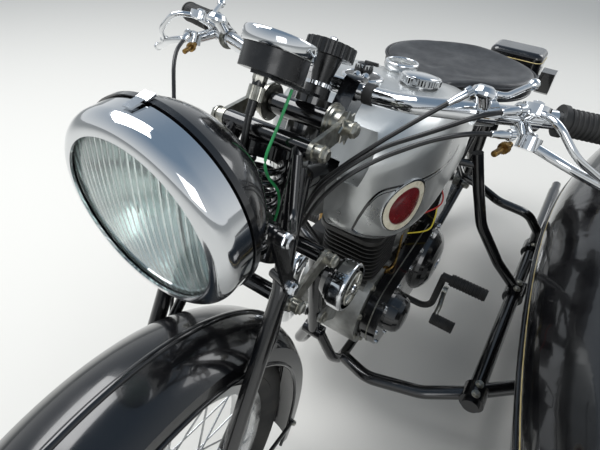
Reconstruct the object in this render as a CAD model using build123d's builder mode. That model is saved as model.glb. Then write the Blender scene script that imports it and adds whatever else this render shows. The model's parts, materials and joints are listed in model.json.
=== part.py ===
from build123d import *
from math import atan2, cos, hypot, radians, sin, tan
import os

# A girder-fork, rigid-frame, side-valve single with a single-seat sidecar on its left.
# X runs forward, Y to the left, Z up. While a piece is drawn, X is measured from the rear axle,
# Y from the machine's centre plane and Z from the ground; keep() then moves it so that the
# origin is the middle of the outfit's footprint.

# Driving dimensions, in millimetres and degrees
wheelbase = 1372
tyre_radius = 328
tyre_width = 88
bead_radius = 241
rake = 27
steer_ground_x = 1443
track = 1150
sidecar_lead = 200
footprint_x = 590
footprint_y = 381
gap = 0.3
running_fit = 0.05

# The steering head's own frame: X ahead of the steering axis, Z up along it from the ground
steer = Plane(origin=(steer_ground_x, 0, 0), x_dir=(cos(radians(rake)), 0, sin(radians(rake))),
              z_dir=(-sin(radians(rake)), 0, cos(radians(rake))))
footprint = Location((-footprint_x, -footprint_y, 0))
front_axle = (wheelbase, 0, tyre_radius)
rear_axle = (0, 0, tyre_radius)
sidecar_axle = (sidecar_lead, track, tyre_radius)
front_centre = Location(front_axle)
rear_centre = Location(rear_axle)
sidecar_centre = Location(sidecar_axle)
axle_in_fork = steer.to_local_coords(Vector(*front_axle))

os.makedirs("parts", exist_ok=True)


def keep(name, label, place=Location()):
    """Label a finished piece, stand it in its place and write it."""
    name.part.label = label
    export_step(name.part.moved(footprint * place), "parts/" + label + ".step")


def rod(start, end, radius, end_radius=None):
    """A straight round bar, tapered where a second radius is given."""
    axis = Vector(*end) - Vector(*start)
    with BuildPart() as piece:
        with BuildSketch(Plane(origin=start, z_dir=axis)):
            Circle(radius)
        if end_radius is None:
            extrude(amount=axis.length)
        else:
            with BuildSketch(Plane(origin=end, z_dir=axis)):
                Circle(end_radius)
            loft()
    return piece.part


def turned(start, towards, profile):
    """A turned bar from start, given as pairs of distance along it and radius."""
    with BuildPart() as piece:
        with BuildSketch(Plane.XZ):
            with BuildLine():
                Polyline((0, profile[0][0]), *[(r, d) for d, r in profile], (0, profile[-1][0]), close=True)
            make_face()
        revolve(axis=Axis.Z)
    return piece.part.moved(Plane(origin=start, z_dir=Vector(*towards) - Vector(*start)).location)


def bent(points, radius, bend):
    """A round bar along straight runs with bends of one radius, or of one radius each."""
    with BuildPart() as piece:
        with BuildLine() as route:
            FilletPolyline(*points, radius=bend)
        with BuildSketch(Plane(origin=route.line @ 0, z_dir=route.line % 0)):
            Circle(radius)
        sweep()
    return piece.part


def box(low, high):
    """A block from its lowest corner to its highest."""
    size = [b - a for a, b in zip(low, high)]
    with BuildPart() as piece:
        with Locations([tuple((a + b) / 2 for a, b in zip(low, high))]):
            Box(*size)
    return piece.part


def cross_bar(x, z, y_from, y_to, radius):
    """A round bar across the machine."""
    return rod((x, y_from, z), (x, y_to, z), radius)


def strap(start, end, y_from, y_to, radius, end_radius=None):
    """A flat link in the XZ plane between two rounded ends, with its thickness across."""
    tip = radius if end_radius is None else end_radius
    length = hypot(end[0] - start[0], end[1] - start[1])
    out = ((start[1] - end[1]) / length, (end[0] - start[0]) / length)
    with BuildPart() as piece:
        with BuildSketch(Plane.XZ.offset(-y_from)):
            with Locations([start]):
                Circle(radius)
            with Locations([end]):
                Circle(tip)
            with BuildLine():
                Polyline((start[0] + out[0] * radius, start[1] + out[1] * radius),
                         (end[0] + out[0] * tip, end[1] + out[1] * tip),
                         (end[0] - out[0] * tip, end[1] - out[1] * tip),
                         (start[0] - out[0] * radius, start[1] - out[1] * radius), close=True)
            make_face()
        extrude(amount=-(y_to - y_from))
    return piece.part


def dome(edge_radius, edge_z, top_z):
    """An arc round the Z axis from an edge to the top, its centre on the axis."""
    centre = (top_z ** 2 - edge_z ** 2 - edge_radius ** 2) / (2 * (top_z - edge_z))
    half = atan2(edge_radius, (edge_z - centre) * (1 if top_z > centre else -1)) / 2
    middle = (abs(top_z - centre) * sin(half), centre + (top_z - centre) * cos(half))
    return ThreePointArc((edge_radius, edge_z), middle, (0, top_z))


# Wheels, each drawn round its own axle along Y

spoke_radius = 1.8
spoke_count = 36
axle_radius = 8
hub_bore = axle_radius + running_fit
flange_radius = 46
hub_flange_y = 36
drum_radius = 92
drum_wall = 6
drum_depth = 27
rim_half = 31
rim_flange_radius = bead_radius + 13
well_radius = bead_radius - 10
bead_half = rim_half - 3.5


def spoked_wheel(drum_side, hub_half_left, hub_half_right, sprocket_radius=0):
    """Rim, hub, brake drum and spokes of one wheel, as one piece."""
    with BuildPart() as wheel:
        with BuildSketch():
            with BuildLine():
                Polyline((rim_flange_radius, bead_half), (bead_radius - gap, bead_half),
                         (bead_radius - gap, 13), (well_radius, 10), (well_radius, -10),
                         (bead_radius - gap, -13), (bead_radius - gap, -bead_half),
                         (rim_flange_radius, -bead_half), (rim_flange_radius, -rim_half),
                         (bead_radius - 4, -rim_half), (bead_radius - 4, -15), (well_radius - 3, -12),
                         (well_radius - 3, 12), (bead_radius - 4, 15), (bead_radius - 4, rim_half),
                         (rim_flange_radius, rim_half), close=True)
            make_face()
            with BuildLine():
                Polyline((hub_bore, hub_half_left), (17, hub_half_left), (17, hub_flange_y + 5),
                         (flange_radius, hub_flange_y + 5), (flange_radius, hub_flange_y),
                         (25, hub_flange_y - 8), (25, 8 - hub_flange_y), (flange_radius, -hub_flange_y),
                         (flange_radius, -hub_flange_y - 5), (17, -hub_flange_y - 5),
                         (17, -hub_half_right), (hub_bore, -hub_half_right), close=True)
            make_face()
            if drum_side != 0:
                web = drum_side * hub_flange_y
                with BuildLine():
                    Polyline((flange_radius - 5, web), (drum_radius, web),
                             (drum_radius, web + drum_side * drum_depth),
                             (drum_radius - drum_wall, web + drum_side * drum_depth),
                             (drum_radius - drum_wall, web + drum_side * 5),
                             (flange_radius - 5, web + drum_side * 5), close=True)
                make_face()
        revolve(axis=Axis.Y)
        spokes = []
        for number in range(spoke_count):
            side = 1 if number % 2 else -1
            lead = 1 if number % 4 < 2 else -1
            at_rim = 360 / spoke_count * number
            at_hub = at_rim + lead * 62
            start = Vector(flange_radius - 4, side * (hub_flange_y + 2.5), 0).rotate(Axis.Y, at_hub)
            end = Vector(well_radius - 1.5, side * 5, 0).rotate(Axis.Y, at_rim)
            spokes.append(rod(start, end, spoke_radius))
        add(spokes)
        if sprocket_radius:
            y_low = drum_side * (hub_flange_y + drum_depth) - sprocket_half_width
            with BuildSketch(Plane.XZ.offset(-y_low)):
                Circle(sprocket_radius)
                with PolarLocations(sprocket_radius, 46):
                    Circle(3.4)
                Circle(drum_radius - drum_wall, mode=Mode.SUBTRACT)
            extrude(amount=-2 * sprocket_half_width)
    return wheel


def tyre():
    """A tyre on its rim: bead, bulged sidewall and round tread."""
    half = tyre_width / 2
    height = tyre_radius - bead_radius
    with BuildPart() as piece:
        with BuildSketch():
            with BuildLine():
                Line((bead_radius, gap - bead_half), (bead_radius, bead_half - gap))
                Line((bead_radius, bead_half - gap), (rim_flange_radius, bead_half - gap))
                ThreePointArc((rim_flange_radius, bead_half - gap), (bead_radius + height * 0.55, half),
                              (tyre_radius - 12, half * 0.66))
                ThreePointArc((tyre_radius - 12, half * 0.66), (tyre_radius, 0),
                              (tyre_radius - 12, -half * 0.66))
                ThreePointArc((tyre_radius - 12, -half * 0.66), (bead_radius + height * 0.55, -half),
                              (rim_flange_radius, gap - bead_half))
                Line((rim_flange_radius, gap - bead_half), (bead_radius, gap - bead_half))
            make_face()
        revolve(axis=Axis.Y)
    return piece


sprocket_half_width = 3
rear_sprocket_radius = 96
front_hub_half = 58
rear_hub_half = 70
sidecar_hub_half = 48

front_wheel = spoked_wheel(-1, front_hub_half, hub_flange_y + drum_depth - 8)
rear_wheel = spoked_wheel(1, hub_flange_y + drum_depth - 8, rear_hub_half, rear_sprocket_radius)
sidecar_wheel = spoked_wheel(0, sidecar_hub_half, sidecar_hub_half)
for wheel, label, centre in ((front_wheel, "front", front_centre), (rear_wheel, "rear", rear_centre),
                             (sidecar_wheel, "sidecar", sidecar_centre)):
    keep(wheel, label + "_wheel", centre)
    keep(tyre(), label + "_tyre", centre)


# Mudguards, each drawn round its wheel's axle

guard_radius = 372
guard_skin = 3
up_and_back = Axis((0, 0, 0), (0, -1, 0))


def mudguard(radius, half_width, valance, start_angle, end_angle, rib):
    """A rolled guard from one angle round to another, counted from forward through up."""
    lead = radians(start_angle)
    section = Plane(origin=(0, 0, 0), x_dir=(cos(lead), 0, sin(lead)), z_dir=(-sin(lead), 0, cos(lead)))
    edge = radius - valance
    with BuildPart() as guard:
        with BuildSketch(section):
            with BuildLine():
                Line((edge, -half_width), (radius - 28, -half_width))
                ThreePointArc((radius - 28, -half_width), (radius, 0), (radius - 28, half_width))
                Line((radius - 28, half_width), (edge, half_width))
                Line((edge, half_width), (edge, half_width - guard_skin))
                Line((edge, half_width - guard_skin), (radius - 28, half_width - guard_skin))
                ThreePointArc((radius - 28, half_width - guard_skin), (radius - guard_skin, 0),
                              (radius - 28, guard_skin - half_width))
                Line((radius - 28, guard_skin - half_width), (edge, guard_skin - half_width))
                Line((edge, guard_skin - half_width), (edge, -half_width))
            make_face()
            with Locations((edge, half_width), (edge, -half_width)):
                Circle(3.5)
            if rib:
                with Locations([(radius - 1, 0)]):
                    Circle(rib)
        revolve(axis=up_and_back, revolution_arc=end_angle - start_angle)
    return guard


front_guard_half = 70
rear_guard_half = 70
blade_y_top = 50
blade_y_low = 98
lug_half = 5
guard_stay_radius = 4
stay_reach = guard_radius - 50
stay_root = (-36, 71)
stay_root_y = 109.3
with BuildPart() as front_mudguard:
    add(mudguard(guard_radius, front_guard_half, 56, 12, 208, 6).part)
    for angle in (28, 196):
        tip = (cos(radians(angle)) * stay_reach, sin(radians(angle)) * stay_reach)
        for side in (-1, 1):
            add(rod((stay_root[0], side * (stay_root_y + 4), stay_root[1]),
                    (tip[0], side * (front_guard_half + 5), tip[1]), guard_stay_radius))
            add(cross_bar(*tip, side * (front_guard_half - 1), side * (front_guard_half + 9), 6))
            add(cross_bar(*stay_root, side * stay_root_y, side * (stay_root_y + 8), 8))
keep(front_mudguard, "front_mudguard", front_centre)


# Girder fork, drawn upright in the steering head's frame

steer_place = steer.location
axle_p = axle_in_fork.X
axle_s = axle_in_fork.Z
upper_front = (91, 975)
lower_front = (38, 760)
upper_rear = (26, 1012)
lower_rear = (-31, 821)
spindle_radius = 6
spring_foot = Vector(55, 0, 812)
spring_head = Vector(80, 0, 950)
spring_axis = (spring_head - spring_foot).normalized()
spring_length = (spring_head - spring_foot).length
seat_radius = 30
head_bottom = 838
head_top = 944
stem_radius = 13
link_thickness = 6
upper_link_y = 66
lower_link_y = 84
side_tube_radius = 8.5

knee = (40, 66.5, 782)
guard_bend = (50, 82, 705)


def blades(grow=0):
    """The girders' main tubes, or the room they need when grown."""
    with BuildPart() as tubes:
        for side in (-1, 1):
            add(bent(((upper_front[0], side * blade_y_top, upper_front[1]), (90, side * 89, 790),
                      (axle_p, side * blade_y_low, axle_s + 26)), 12 + grow, [60]))
    return tubes.part


with BuildPart() as fork_girders:
    add(blades())
    for side in (-1, 1):
        knee_point = (knee[0], side * knee[1], knee[2])
        add(rod((66, side * 57, 938), knee_point, side_tube_radius))
        add(bent((knee_point, (guard_bend[0], side * guard_bend[1], guard_bend[2]),
                  (axle_p + 4, side * (blade_y_low - 12), axle_s + 210)), side_tube_radius, [60]))
        add(strap((upper_front[0] - 2, 944), (66, 936), *sorted((side * 48, side * 64)), 11))
        add(strap(lower_front, (knee[0], knee[2]), *sorted((side * 64, side * lower_link_y)), 15, 13))
        add(strap((axle_p, axle_s), (axle_p + 2, axle_s + 50), side * blade_y_low - lug_half,
                  side * blade_y_low + lug_half, 17, 13))
    add(cross_bar(*upper_front, -upper_link_y, upper_link_y, 12))
    add(cross_bar(*lower_front, -lower_link_y, lower_link_y, 12))
    add(rod(spring_head, spring_head + spring_axis * 17, seat_radius))
    for spindle in (upper_front, lower_front):
        add(cross_bar(*spindle, -120, 120, spindle_radius + running_fit), mode=Mode.SUBTRACT)
    add(cross_bar(axle_p, axle_s, -120, 120, hub_bore), mode=Mode.SUBTRACT)
keep(fork_girders, "fork_girders", steer_place)

with BuildPart() as fork_links:
    for front, back, y_in in ((upper_front, upper_rear, upper_link_y), (lower_front, lower_rear, lower_link_y)):
        for side in (-1, 1):
            y_out = y_in + link_thickness
            add(strap(front, back, min(side * y_in, side * y_out), max(side * y_in, side * y_out), 13))
            for end in (front, back):
                add(cross_bar(*end, side * 40, side * y_in, spindle_radius))
                add(cross_bar(*end, side * y_out, side * (y_out + 9), 10))
    for side in (-1, 1):
        add(cross_bar(*upper_rear, side * 48, side * 56, 25))
        add(cross_bar(*upper_rear, side * 56, side * upper_link_y, 20))
keep(fork_links, "fork_links", steer_place)

lug_y = 46
stem_top = 1036
bar_centre = (-44, 1066)
bar_radius = 12.7
with BuildPart() as lower_crown:
    add(rod((0, 0, 786), (0, 0, stem_top), stem_radius - running_fit))
    add(rod((0, 0, 786), (0, 0, head_bottom - 1), 25))
    add(cross_bar(*lower_rear, -80, 80, 13))
    add(box((-40, -20, 790), (0, 20, 832)))
    add(box((0, -14, 788), (spring_foot.X, 14, 804)))
    add(rod(spring_foot - spring_axis * 8, spring_foot, seat_radius))
    add(cross_bar(*lower_rear, -120, 120, spindle_radius + running_fit), mode=Mode.SUBTRACT)
with BuildPart() as top_crown:
    add(rod((0, 0, head_top + 2), (0, 0, stem_top + 1), 27))
    add(cross_bar(*upper_rear, -lug_y, lug_y, 15))
    for side in (-1, 1):
        add(strap((-22, 1006), bar_centre, side * 34 - 13, side * 34 + 13, 15, 20))
    add(cross_bar(*bar_centre, -60, 60, bar_radius + running_fit), mode=Mode.SUBTRACT)
    add(cross_bar(*upper_rear, -120, 120, spindle_radius + running_fit), mode=Mode.SUBTRACT)
    add(rod((0, 0, 900), (0, 0, 1036), stem_radius), mode=Mode.SUBTRACT)
keep(lower_crown, "lower_crown", steer_place)
keep(top_crown, "top_crown", steer_place)

coil_radius = 25
wire_radius = 4.5
coil_turns = 8
coil_start = wire_radius + gap
coil_height = spring_length - 2 * coil_start
spring_plane = Plane(origin=spring_foot + spring_axis * coil_start, z_dir=spring_axis)
with BuildPart() as fork_spring:
    with BuildLine():
        coil = Helix(pitch=coil_height / coil_turns, height=coil_height, radius=coil_radius)
    with BuildSketch(Plane(origin=coil @ 0, z_dir=coil % 0)):
        Circle(wire_radius)
    sweep()
keep(fork_spring, "fork_spring", steer_place * spring_plane.location)

bar_half = ((-44, 0, 1066), (-44, 70, 1066), (-24, 124, 1067), (-44, 216, 1086), (-96, 293, 1108),
            (-147, 403, 1122))
with BuildPart() as handlebar:
    left_half = bent(bar_half, bar_radius, [80, 60, 90, 90])
    add(left_half)
    mirror(about=Plane.XZ)
keep(handlebar, "handlebar", steer_place)


def along(start, end, distance):
    """A point on the line from start to end."""
    axis = Vector(*end) - Vector(*start)
    return tuple(Vector(*start) + axis.normalized() * distance)


grip_in = along(bar_half[4], bar_half[5], 6)
grip_out = along(bar_half[4], bar_half[5], 132)
grip_length = (Vector(*grip_out) - Vector(*grip_in)).length
grip_radius = 17
with BuildPart() as grips:
    add(rod(grip_in, grip_out, grip_radius))
    add(rod(grip_in, along(grip_in, grip_out, 7), grip_radius + 4))
    add(rod(along(grip_out, grip_in, 6), grip_out, grip_radius + 2))
    add(bent(bar_half, bar_radius + gap, [80, 60, 90, 90]), mode=Mode.SUBTRACT)
    mirror(about=Plane.XZ)
keep(grips, "grips", steer_place)

perch = along(bar_half[3], bar_half[4], 58)
clutch_pivot = (-38, 280, 1066)
lifter_pivot = (-32, 272, 1104)
advance_pivot = (-6, 212, 1104)
def on_side(side, *points):
    """Points given for the left bar, on the side asked for."""
    return [(x, side * y, z) for x, y, z in points]


with BuildPart() as bar_levers:
    for side in (-1, 1):
        out = on_side(side, *bar_half)
        block, clutch, lifter = on_side(side, perch, clutch_pivot, lifter_pivot)
        add(rod(along(block, out[4], -13), along(block, out[4], 13), 18))
        add(rod((block[0] + 10, block[1], block[2] - 12), clutch, 9))
        add(rod((block[0] + 8, block[1], block[2]), lifter, 8))
        for pivot, half, radius in ((clutch, 8, 14), (lifter, 6, 17)):
            add(rod((pivot[0], pivot[1], pivot[2] - half), (pivot[0], pivot[1], pivot[2] + half), radius))
        add(bent(on_side(side, clutch_pivot, (-34, 326, 1054), (-76, 384, 1044), (-124, 448, 1038)), 6, [70, 90]))
        add(bent(on_side(side, lifter_pivot, (0, 300, 1094), (-14, 334, 1064), (-64, 372, 1052)), 4.5, [24, 40]))
        add(rod(along(out[3], out[4], -14), along(out[3], out[4], 12), 16.5))
        foot, top, bend, ball = on_side(side, (-30, 214, 1094), advance_pivot, (-20, 236, 1109), (-56, 256, 1136))
        add(rod(foot, top, 9))
        add(turned((top[0], top[1], 1099), (top[0], top[1], 1112), ((0, 17), (4, 17), (10, 14), (13, 9))))
        add(bent(((top[0], top[1], 1105), bend, ball), 4, [20]))
        with Locations(*on_side(side, (-124, 448, 1038), (-64, 372, 1052))):
            Sphere(8)
        add(turned(along(ball, bend, 7), ball, ((0, 4), (3, 6.5), (7, 7.2), (11, 6.5), (14, 4))))
        add(bent(out, bar_radius + gap, [80, 60, 90, 90]), mode=Mode.SUBTRACT)
keep(bar_levers, "bar_levers", steer_place)

speedo_place = Location((122.6, 0, 1041))
with BuildPart() as speedometer:
    add(rod((0, 0, 0), (0, 0, 36), 40.5))
    add(rod((0, 0, 36), (0, 0, 38), 40.5, 43))
    add(rod((0, 0, 30), (0, 0, 40), 43))
    add(rod((-10, -20, -30), (-10, -20, 0), 8))
    add(rod((-10, -20, -52), (-10, -20, -30), 6))
    add(box((-112, -15, 1 - 5), (20, 15, 0)))
    add(rod((-122.6, 0, -60), (-122.6, 0, 60), 22), mode=Mode.SUBTRACT)
keep(speedometer, "speedometer", steer_place * speedo_place)

knob_top = 1112
with BuildPart() as steering_damper:
    add(rod((0, 0, stem_top + 1), (0, 0, stem_top + 16), 19))
    add(rod((0, 0, stem_top + 16), (0, 0, knob_top - 16), 12, 21))
    with BuildSketch(Plane.XY.offset(knob_top - 18)):
        Circle(36)
        with PolarLocations(38, 20):
            Circle(4, mode=Mode.SUBTRACT)
    extrude(amount=18)
keep(steering_damper, "steering_damper", steer_place)


# Headlamp, drawn with Z along its beam and its glass at Z = 0

lamp_centre = (266, 866)
lamp_dip = rake + 5.6
glass_radius = 96
rim_radius = 113
lamp_depth = 128
shell_start = -36
lamp = Plane(origin=(lamp_centre[0], 0, lamp_centre[1]), x_dir=(-sin(radians(lamp_dip)), 0, -cos(radians(lamp_dip))),
             z_dir=(cos(radians(lamp_dip)), 0, -sin(radians(lamp_dip))))
lamp_place = steer_place * lamp.location

with BuildPart() as headlamp_rim:
    with BuildSketch(Plane.XZ):
        with BuildLine():
            ThreePointArc((glass_radius - 3, 5), (glass_radius + 9, 1), (rim_radius, -16))
            Line((rim_radius, -16), (rim_radius, shell_start + 2))
            Line((rim_radius, shell_start + 2), (rim_radius - 3, shell_start + 2))
            Line((rim_radius - 3, shell_start + 2), (rim_radius - 3, -17))
            ThreePointArc((rim_radius - 3, -17), (glass_radius + 7, -2), (glass_radius - 3, 2))
            Line((glass_radius - 3, 2), (glass_radius - 3, 5))
        make_face()
    revolve(axis=Axis.Z)
keep(headlamp_rim, "headlamp_rim", lamp_place)

with BuildPart() as headlamp_lens:
    with BuildSketch(Plane.XZ):
        with BuildLine():
            Line((0, 3), (0, 8))
            dome(glass_radius - 1, -1.5, 8)
            Line((glass_radius - 1, -1.5), (glass_radius - 1, -5.5))
            dome(glass_radius - 1, -5.5, 3)
        make_face()
    revolve(axis=Axis.Z)
keep(headlamp_lens, "headlamp_lens", lamp_place)

with BuildPart() as headlamp_shell:
    with BuildSketch(Plane.XZ):
        with BuildLine():
            Line((rim_radius - 4, shell_start + 10), (rim_radius - 4, shell_start))
            Line((rim_radius - 4, shell_start), (rim_radius + 2, shell_start))
            Line((rim_radius + 2, shell_start), (rim_radius + 2, shell_start - 7))
            Line((rim_radius + 2, shell_start - 7), (rim_radius - 1, shell_start - 7))
            dome(rim_radius - 1, shell_start - 7, -lamp_depth)
            Line((0, -lamp_depth), (0, 4 - lamp_depth))
            dome(rim_radius - 8, shell_start - 6, 4 - lamp_depth)
            Line((rim_radius - 8, shell_start - 6), (rim_radius - 8, shell_start + 10))
            Line((rim_radius - 8, shell_start + 10), (rim_radius - 4, shell_start + 10))
        make_face()
    revolve(axis=Axis.Z)
keep(headlamp_shell, "headlamp_shell", lamp_place)

lamp_pivot = (190, 890)


def lamp_room(grow):
    """The room that the headlamp's shell takes."""
    with BuildPart() as room:
        with BuildSketch(Plane.XZ):
            with BuildLine():
                Polyline((0, -lamp_depth - grow), (0, 0), (rim_radius + 2 + grow, 0),
                         (rim_radius + 2 + grow, shell_start - 7 - grow))
                dome(rim_radius + 2 + grow, shell_start - 7 - grow, -lamp_depth - grow)
            make_face()
        revolve(axis=Axis.Z)
    return room.part.moved(lamp.location)


with BuildPart() as lamp_brackets:
    for side in (-1, 1):
        add(bent(((118, side * 64, 966), (116, side * 84, 892), (150, side * 106, 884), (192, side * 108, 890)),
                 6, [22, 20]))
        add(rod((118, side * 66, 958), (94, side * 60, 958), 8))
        add(strap(lamp_pivot, (112, 812), *sorted((side * 105, side * 110)), 10, 9))
        add(rod((112, side * 110, 812), (94, side * 72, 812), 7))
        add(cross_bar(*lamp_pivot, side * 92, side * 105, 13))
        add(cross_bar(*lamp_pivot, side * 105, side * 119, 8))
    add(blades(gap), mode=Mode.SUBTRACT)
    add(cross_bar(*upper_front, -80, 80, 12 + gap), mode=Mode.SUBTRACT)
    for side in (-1, 1):
        add(strap((upper_front[0] - 2, 944), (66, 936), *sorted((side * 40, side * 64.3)), 11 + gap),
            mode=Mode.SUBTRACT)
        add(strap(upper_front, upper_rear, *sorted((side * (upper_link_y - gap), side * 80)), 13 + gap),
            mode=Mode.SUBTRACT)
    add(lamp_room(gap), mode=Mode.SUBTRACT)
keep(lamp_brackets, "lamp_brackets", steer_place)

# Front spindle with the brake's back plate, held by the fork ends
fork_lug_out = blade_y_low + lug_half
plate_y = -(hub_flange_y + drum_depth)
with BuildPart() as front_brake:
    add(cross_bar(axle_p, axle_s, -fork_lug_out - 16, fork_lug_out + 16, axle_radius))
    add(cross_bar(axle_p, axle_s, plate_y, plate_y + 5, drum_radius - drum_wall - 2))
    add(cross_bar(axle_p, axle_s, -blade_y_low + lug_half, plate_y, 20))
    add(cross_bar(axle_p, axle_s, front_hub_half + 2, blade_y_low - lug_half, 13))
    for side in (-1, 1):
        add(cross_bar(axle_p, axle_s, side * fork_lug_out, side * (fork_lug_out + 10), 14))
    add(strap((axle_p - 58, axle_s + 20), (axle_p - 100, axle_s + 46), plate_y - 12, plate_y - 6, 9, 6))
    add(cross_bar(axle_p - 58, axle_s + 20, plate_y - 12, plate_y, 7))
keep(front_brake, "front_brake", steer_place)

# Control cables, along the fork: ignition, valve lifter and clutch on the left, front brake on the right
cable_radius = 3
cable_routes = (
    ((16, 194, 1091), (30, 169, 1061), (34, 125, 1010), (38, 93, 969), (40, 68, 934), (18, 48, 880)),
    ((0, 253, 1093), (35, 224, 1074), (35, 188, 1046), (35, 128, 1003), (46, 96, 962), (46, 72, 926), (24, 50, 872)),
    ((6, 254, 1064), (40, 222, 1052), (45, 185, 1031), (50, 137, 992), (66, 108, 956), (52, 80, 914), (26, 58, 868)),
    ((6, -254, 1064), (56, -222, 1030), (70, -160, 900), (46, -128, 760), (20, -118, 600),
     (-8, -96, 470), (axle_p - 100, -69, axle_s + 56)),
)
with BuildPart() as control_cables:
    for route in cable_routes:
        radii = []
        for before, corner, after in zip(route, route[1:], route[2:]):
            first = Vector(*corner) - Vector(*before)
            second = Vector(*after) - Vector(*corner)
            half_turn = radians(first.get_angle(second) / 2)
            radii.append(0.45 * min(first.length, second.length) / tan(half_turn))
        add(bent(route, cable_radius, radii))
keep(control_cables, "control_cables", steer_place)


# Frame tubes, all in one plane of symmetry

head_low = steer.from_local_coords(Vector(0, 0, head_bottom))
head_high = steer.from_local_coords(Vector(0, 0, head_top))
seat_lug = (430, 0, 700)
seat_foot = (398, 0, 236)
down_foot = (866, 0, 300)
rail_y = 58
rail_z = 152
tube_radius = 16
rail_radius = 13
stay_radius = 10
axle_lug_y = 88

tank_tube_front = along(head_low, head_high, 58)
down_tube = (along(head_low, head_high, 42), (905, 0, 590), down_foot)


def frame_runs(grow=0):
    """Every tube of the frame, or the room it needs when grown."""
    with BuildPart() as runs:
        add(rod(head_low, head_high, 22 + grow))
        add(rod(tank_tube_front, seat_lug, tube_radius + grow))
        add(bent(down_tube, tube_radius + grow, 200))
        add(rod(seat_lug, seat_foot, tube_radius + grow))
        add(rod(seat_lug, (seat_lug[0] + 4, 0, seat_lug[2] + 48), 14 + grow))
        add(cross_bar(seat_lug[0], seat_lug[2], -26 - grow, 26 + grow, 20 + grow))
        add(cross_bar(down_foot[0], down_foot[2], -24, 24, 18 + grow))
        for side in (-1, 1):
            add(bent(((down_foot[0], side * 16, down_foot[2]), (846, side * 50, 208), (800, side * rail_y, rail_z),
                      (440, side * rail_y, rail_z), (330, side * (axle_lug_y - 2), 188),
                      (20, side * axle_lug_y, 322)), rail_radius + grow, [60, 60, 120, 120]))
            add(bent(((seat_lug[0], side * 12, seat_lug[2] - 4), stay_knee(side), stay_foot(side)),
                     stay_radius + grow, [40]))
        add(cross_bar(seat_foot[0], rail_z, -rail_y, rail_y, 12 + grow))
        add(rod((seat_foot[0], 0, rail_z), seat_foot, 18 + grow))
    return runs.part


def stay_knee(side):
    return (372, side * (axle_lug_y - 4), 640)


def stay_foot(side):
    return (14, side * axle_lug_y, tyre_radius + 26)


with BuildPart() as frame_tubes:
    add(frame_runs())
    for side in (-1, 1):
        add(strap((0, tyre_radius), (26, tyre_radius + 6), side * axle_lug_y - 5, side * axle_lug_y + 5, 24, 20))
    add(rod((0, 0, 700), (0, 0, 1000), stem_radius).moved(steer_place), mode=Mode.SUBTRACT)
    add(cross_bar(0, tyre_radius, -140, 140, hub_bore), mode=Mode.SUBTRACT)
keep(frame_tubes, "frame_tubes")

with BuildPart() as axles:
    add(cross_bar(0, tyre_radius, -axle_lug_y - 22, axle_lug_y + 22, axle_radius))
    for side in (-1, 1):
        add(cross_bar(0, tyre_radius, side * (axle_lug_y + 5), side * (axle_lug_y + 15), 14))
    add(cross_bar(0, tyre_radius, -axle_lug_y + 5, -rear_hub_half - 1, 14))
    add(cross_bar(0, tyre_radius, hub_flange_y + drum_depth - 6, axle_lug_y - 5, 14))
keep(axles, "rear_axle")

# Rear mudguard, carried by bosses against the stays
guard_boss = (255, 219)
with BuildPart() as rear_mudguard:
    add(mudguard(guard_radius, rear_guard_half, 44, 24, 206, 0).part)
    for side in (-1, 1):
        add(cross_bar(*guard_boss, side * (rear_guard_half - 1), side * (axle_lug_y - 2.7 - stay_radius - gap), 6))
keep(rear_mudguard, "rear_mudguard", rear_centre)

with BuildPart() as tail_lamp:
    add(rod((-330, 0, 494), (-384, 0, 516), 26))
    add(rod((-384, 0, 516), (-400, 0, 523), 36, 30))
    add(box((-392, -92, 380), (-388, 92, 482)))
    add(box((-390, -10, 450), (-350, 10, 460)))
    add(cross_bar(0, tyre_radius, -120, 120, guard_radius + gap), mode=Mode.SUBTRACT)
keep(tail_lamp, "tail_lamp")

# A carrier over the rear guard, with a small case on its left
case_low = 680
with BuildPart() as rear_case:
    add(box((-268, -66, case_low - 8), (-128, 180, case_low)))
    for side in (-1, 1):
        add(rod((-244, side * 44, 560), (-244, side * 44, case_low - 4), 7))
        add(rod((-150, side * 44, 600), (-150, side * 44, case_low - 4), 7))
    with BuildPart(mode=Mode.PRIVATE) as case:
        with Locations(((-190, 92, case_low + 47))):
            Box(120, 168, 94)
        fillet(case.edges().filter_by(Axis.Z), 26)
        fillet(case.faces().sort_by(Axis.Z)[-1].edges(), 18)
    add(case.part)
    add(box((-250, 180, 640), (-190, 224, 712)))
    add(cross_bar(0, tyre_radius, -240, 240, guard_radius + gap), mode=Mode.SUBTRACT)
keep(rear_case, "rear_case")

# Saddle and its springs
saddle_z = 756
with BuildPart() as saddle:
    with BuildSketch(Plane.XY.offset(saddle_z)):
        with BuildLine():
            ThreePointArc((68, -120), (16, 0), (68, 120))
            ThreePointArc((68, 120), (126, 184), (214, 204))
            ThreePointArc((214, 204), (300, 170), (352, 96))
            Line((352, 96), (404, 46))
            ThreePointArc((404, 46), (438, 0), (404, -46))
            Line((404, -46), (352, -96))
            ThreePointArc((352, -96), (300, -170), (214, -204))
            ThreePointArc((214, -204), (126, -184), (68, -120))
        make_face()
    extrude(amount=44)
    fillet(saddle.faces().sort_by(Axis.Z)[-1].edges(), 12)
keep(saddle, "saddle")

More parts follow.
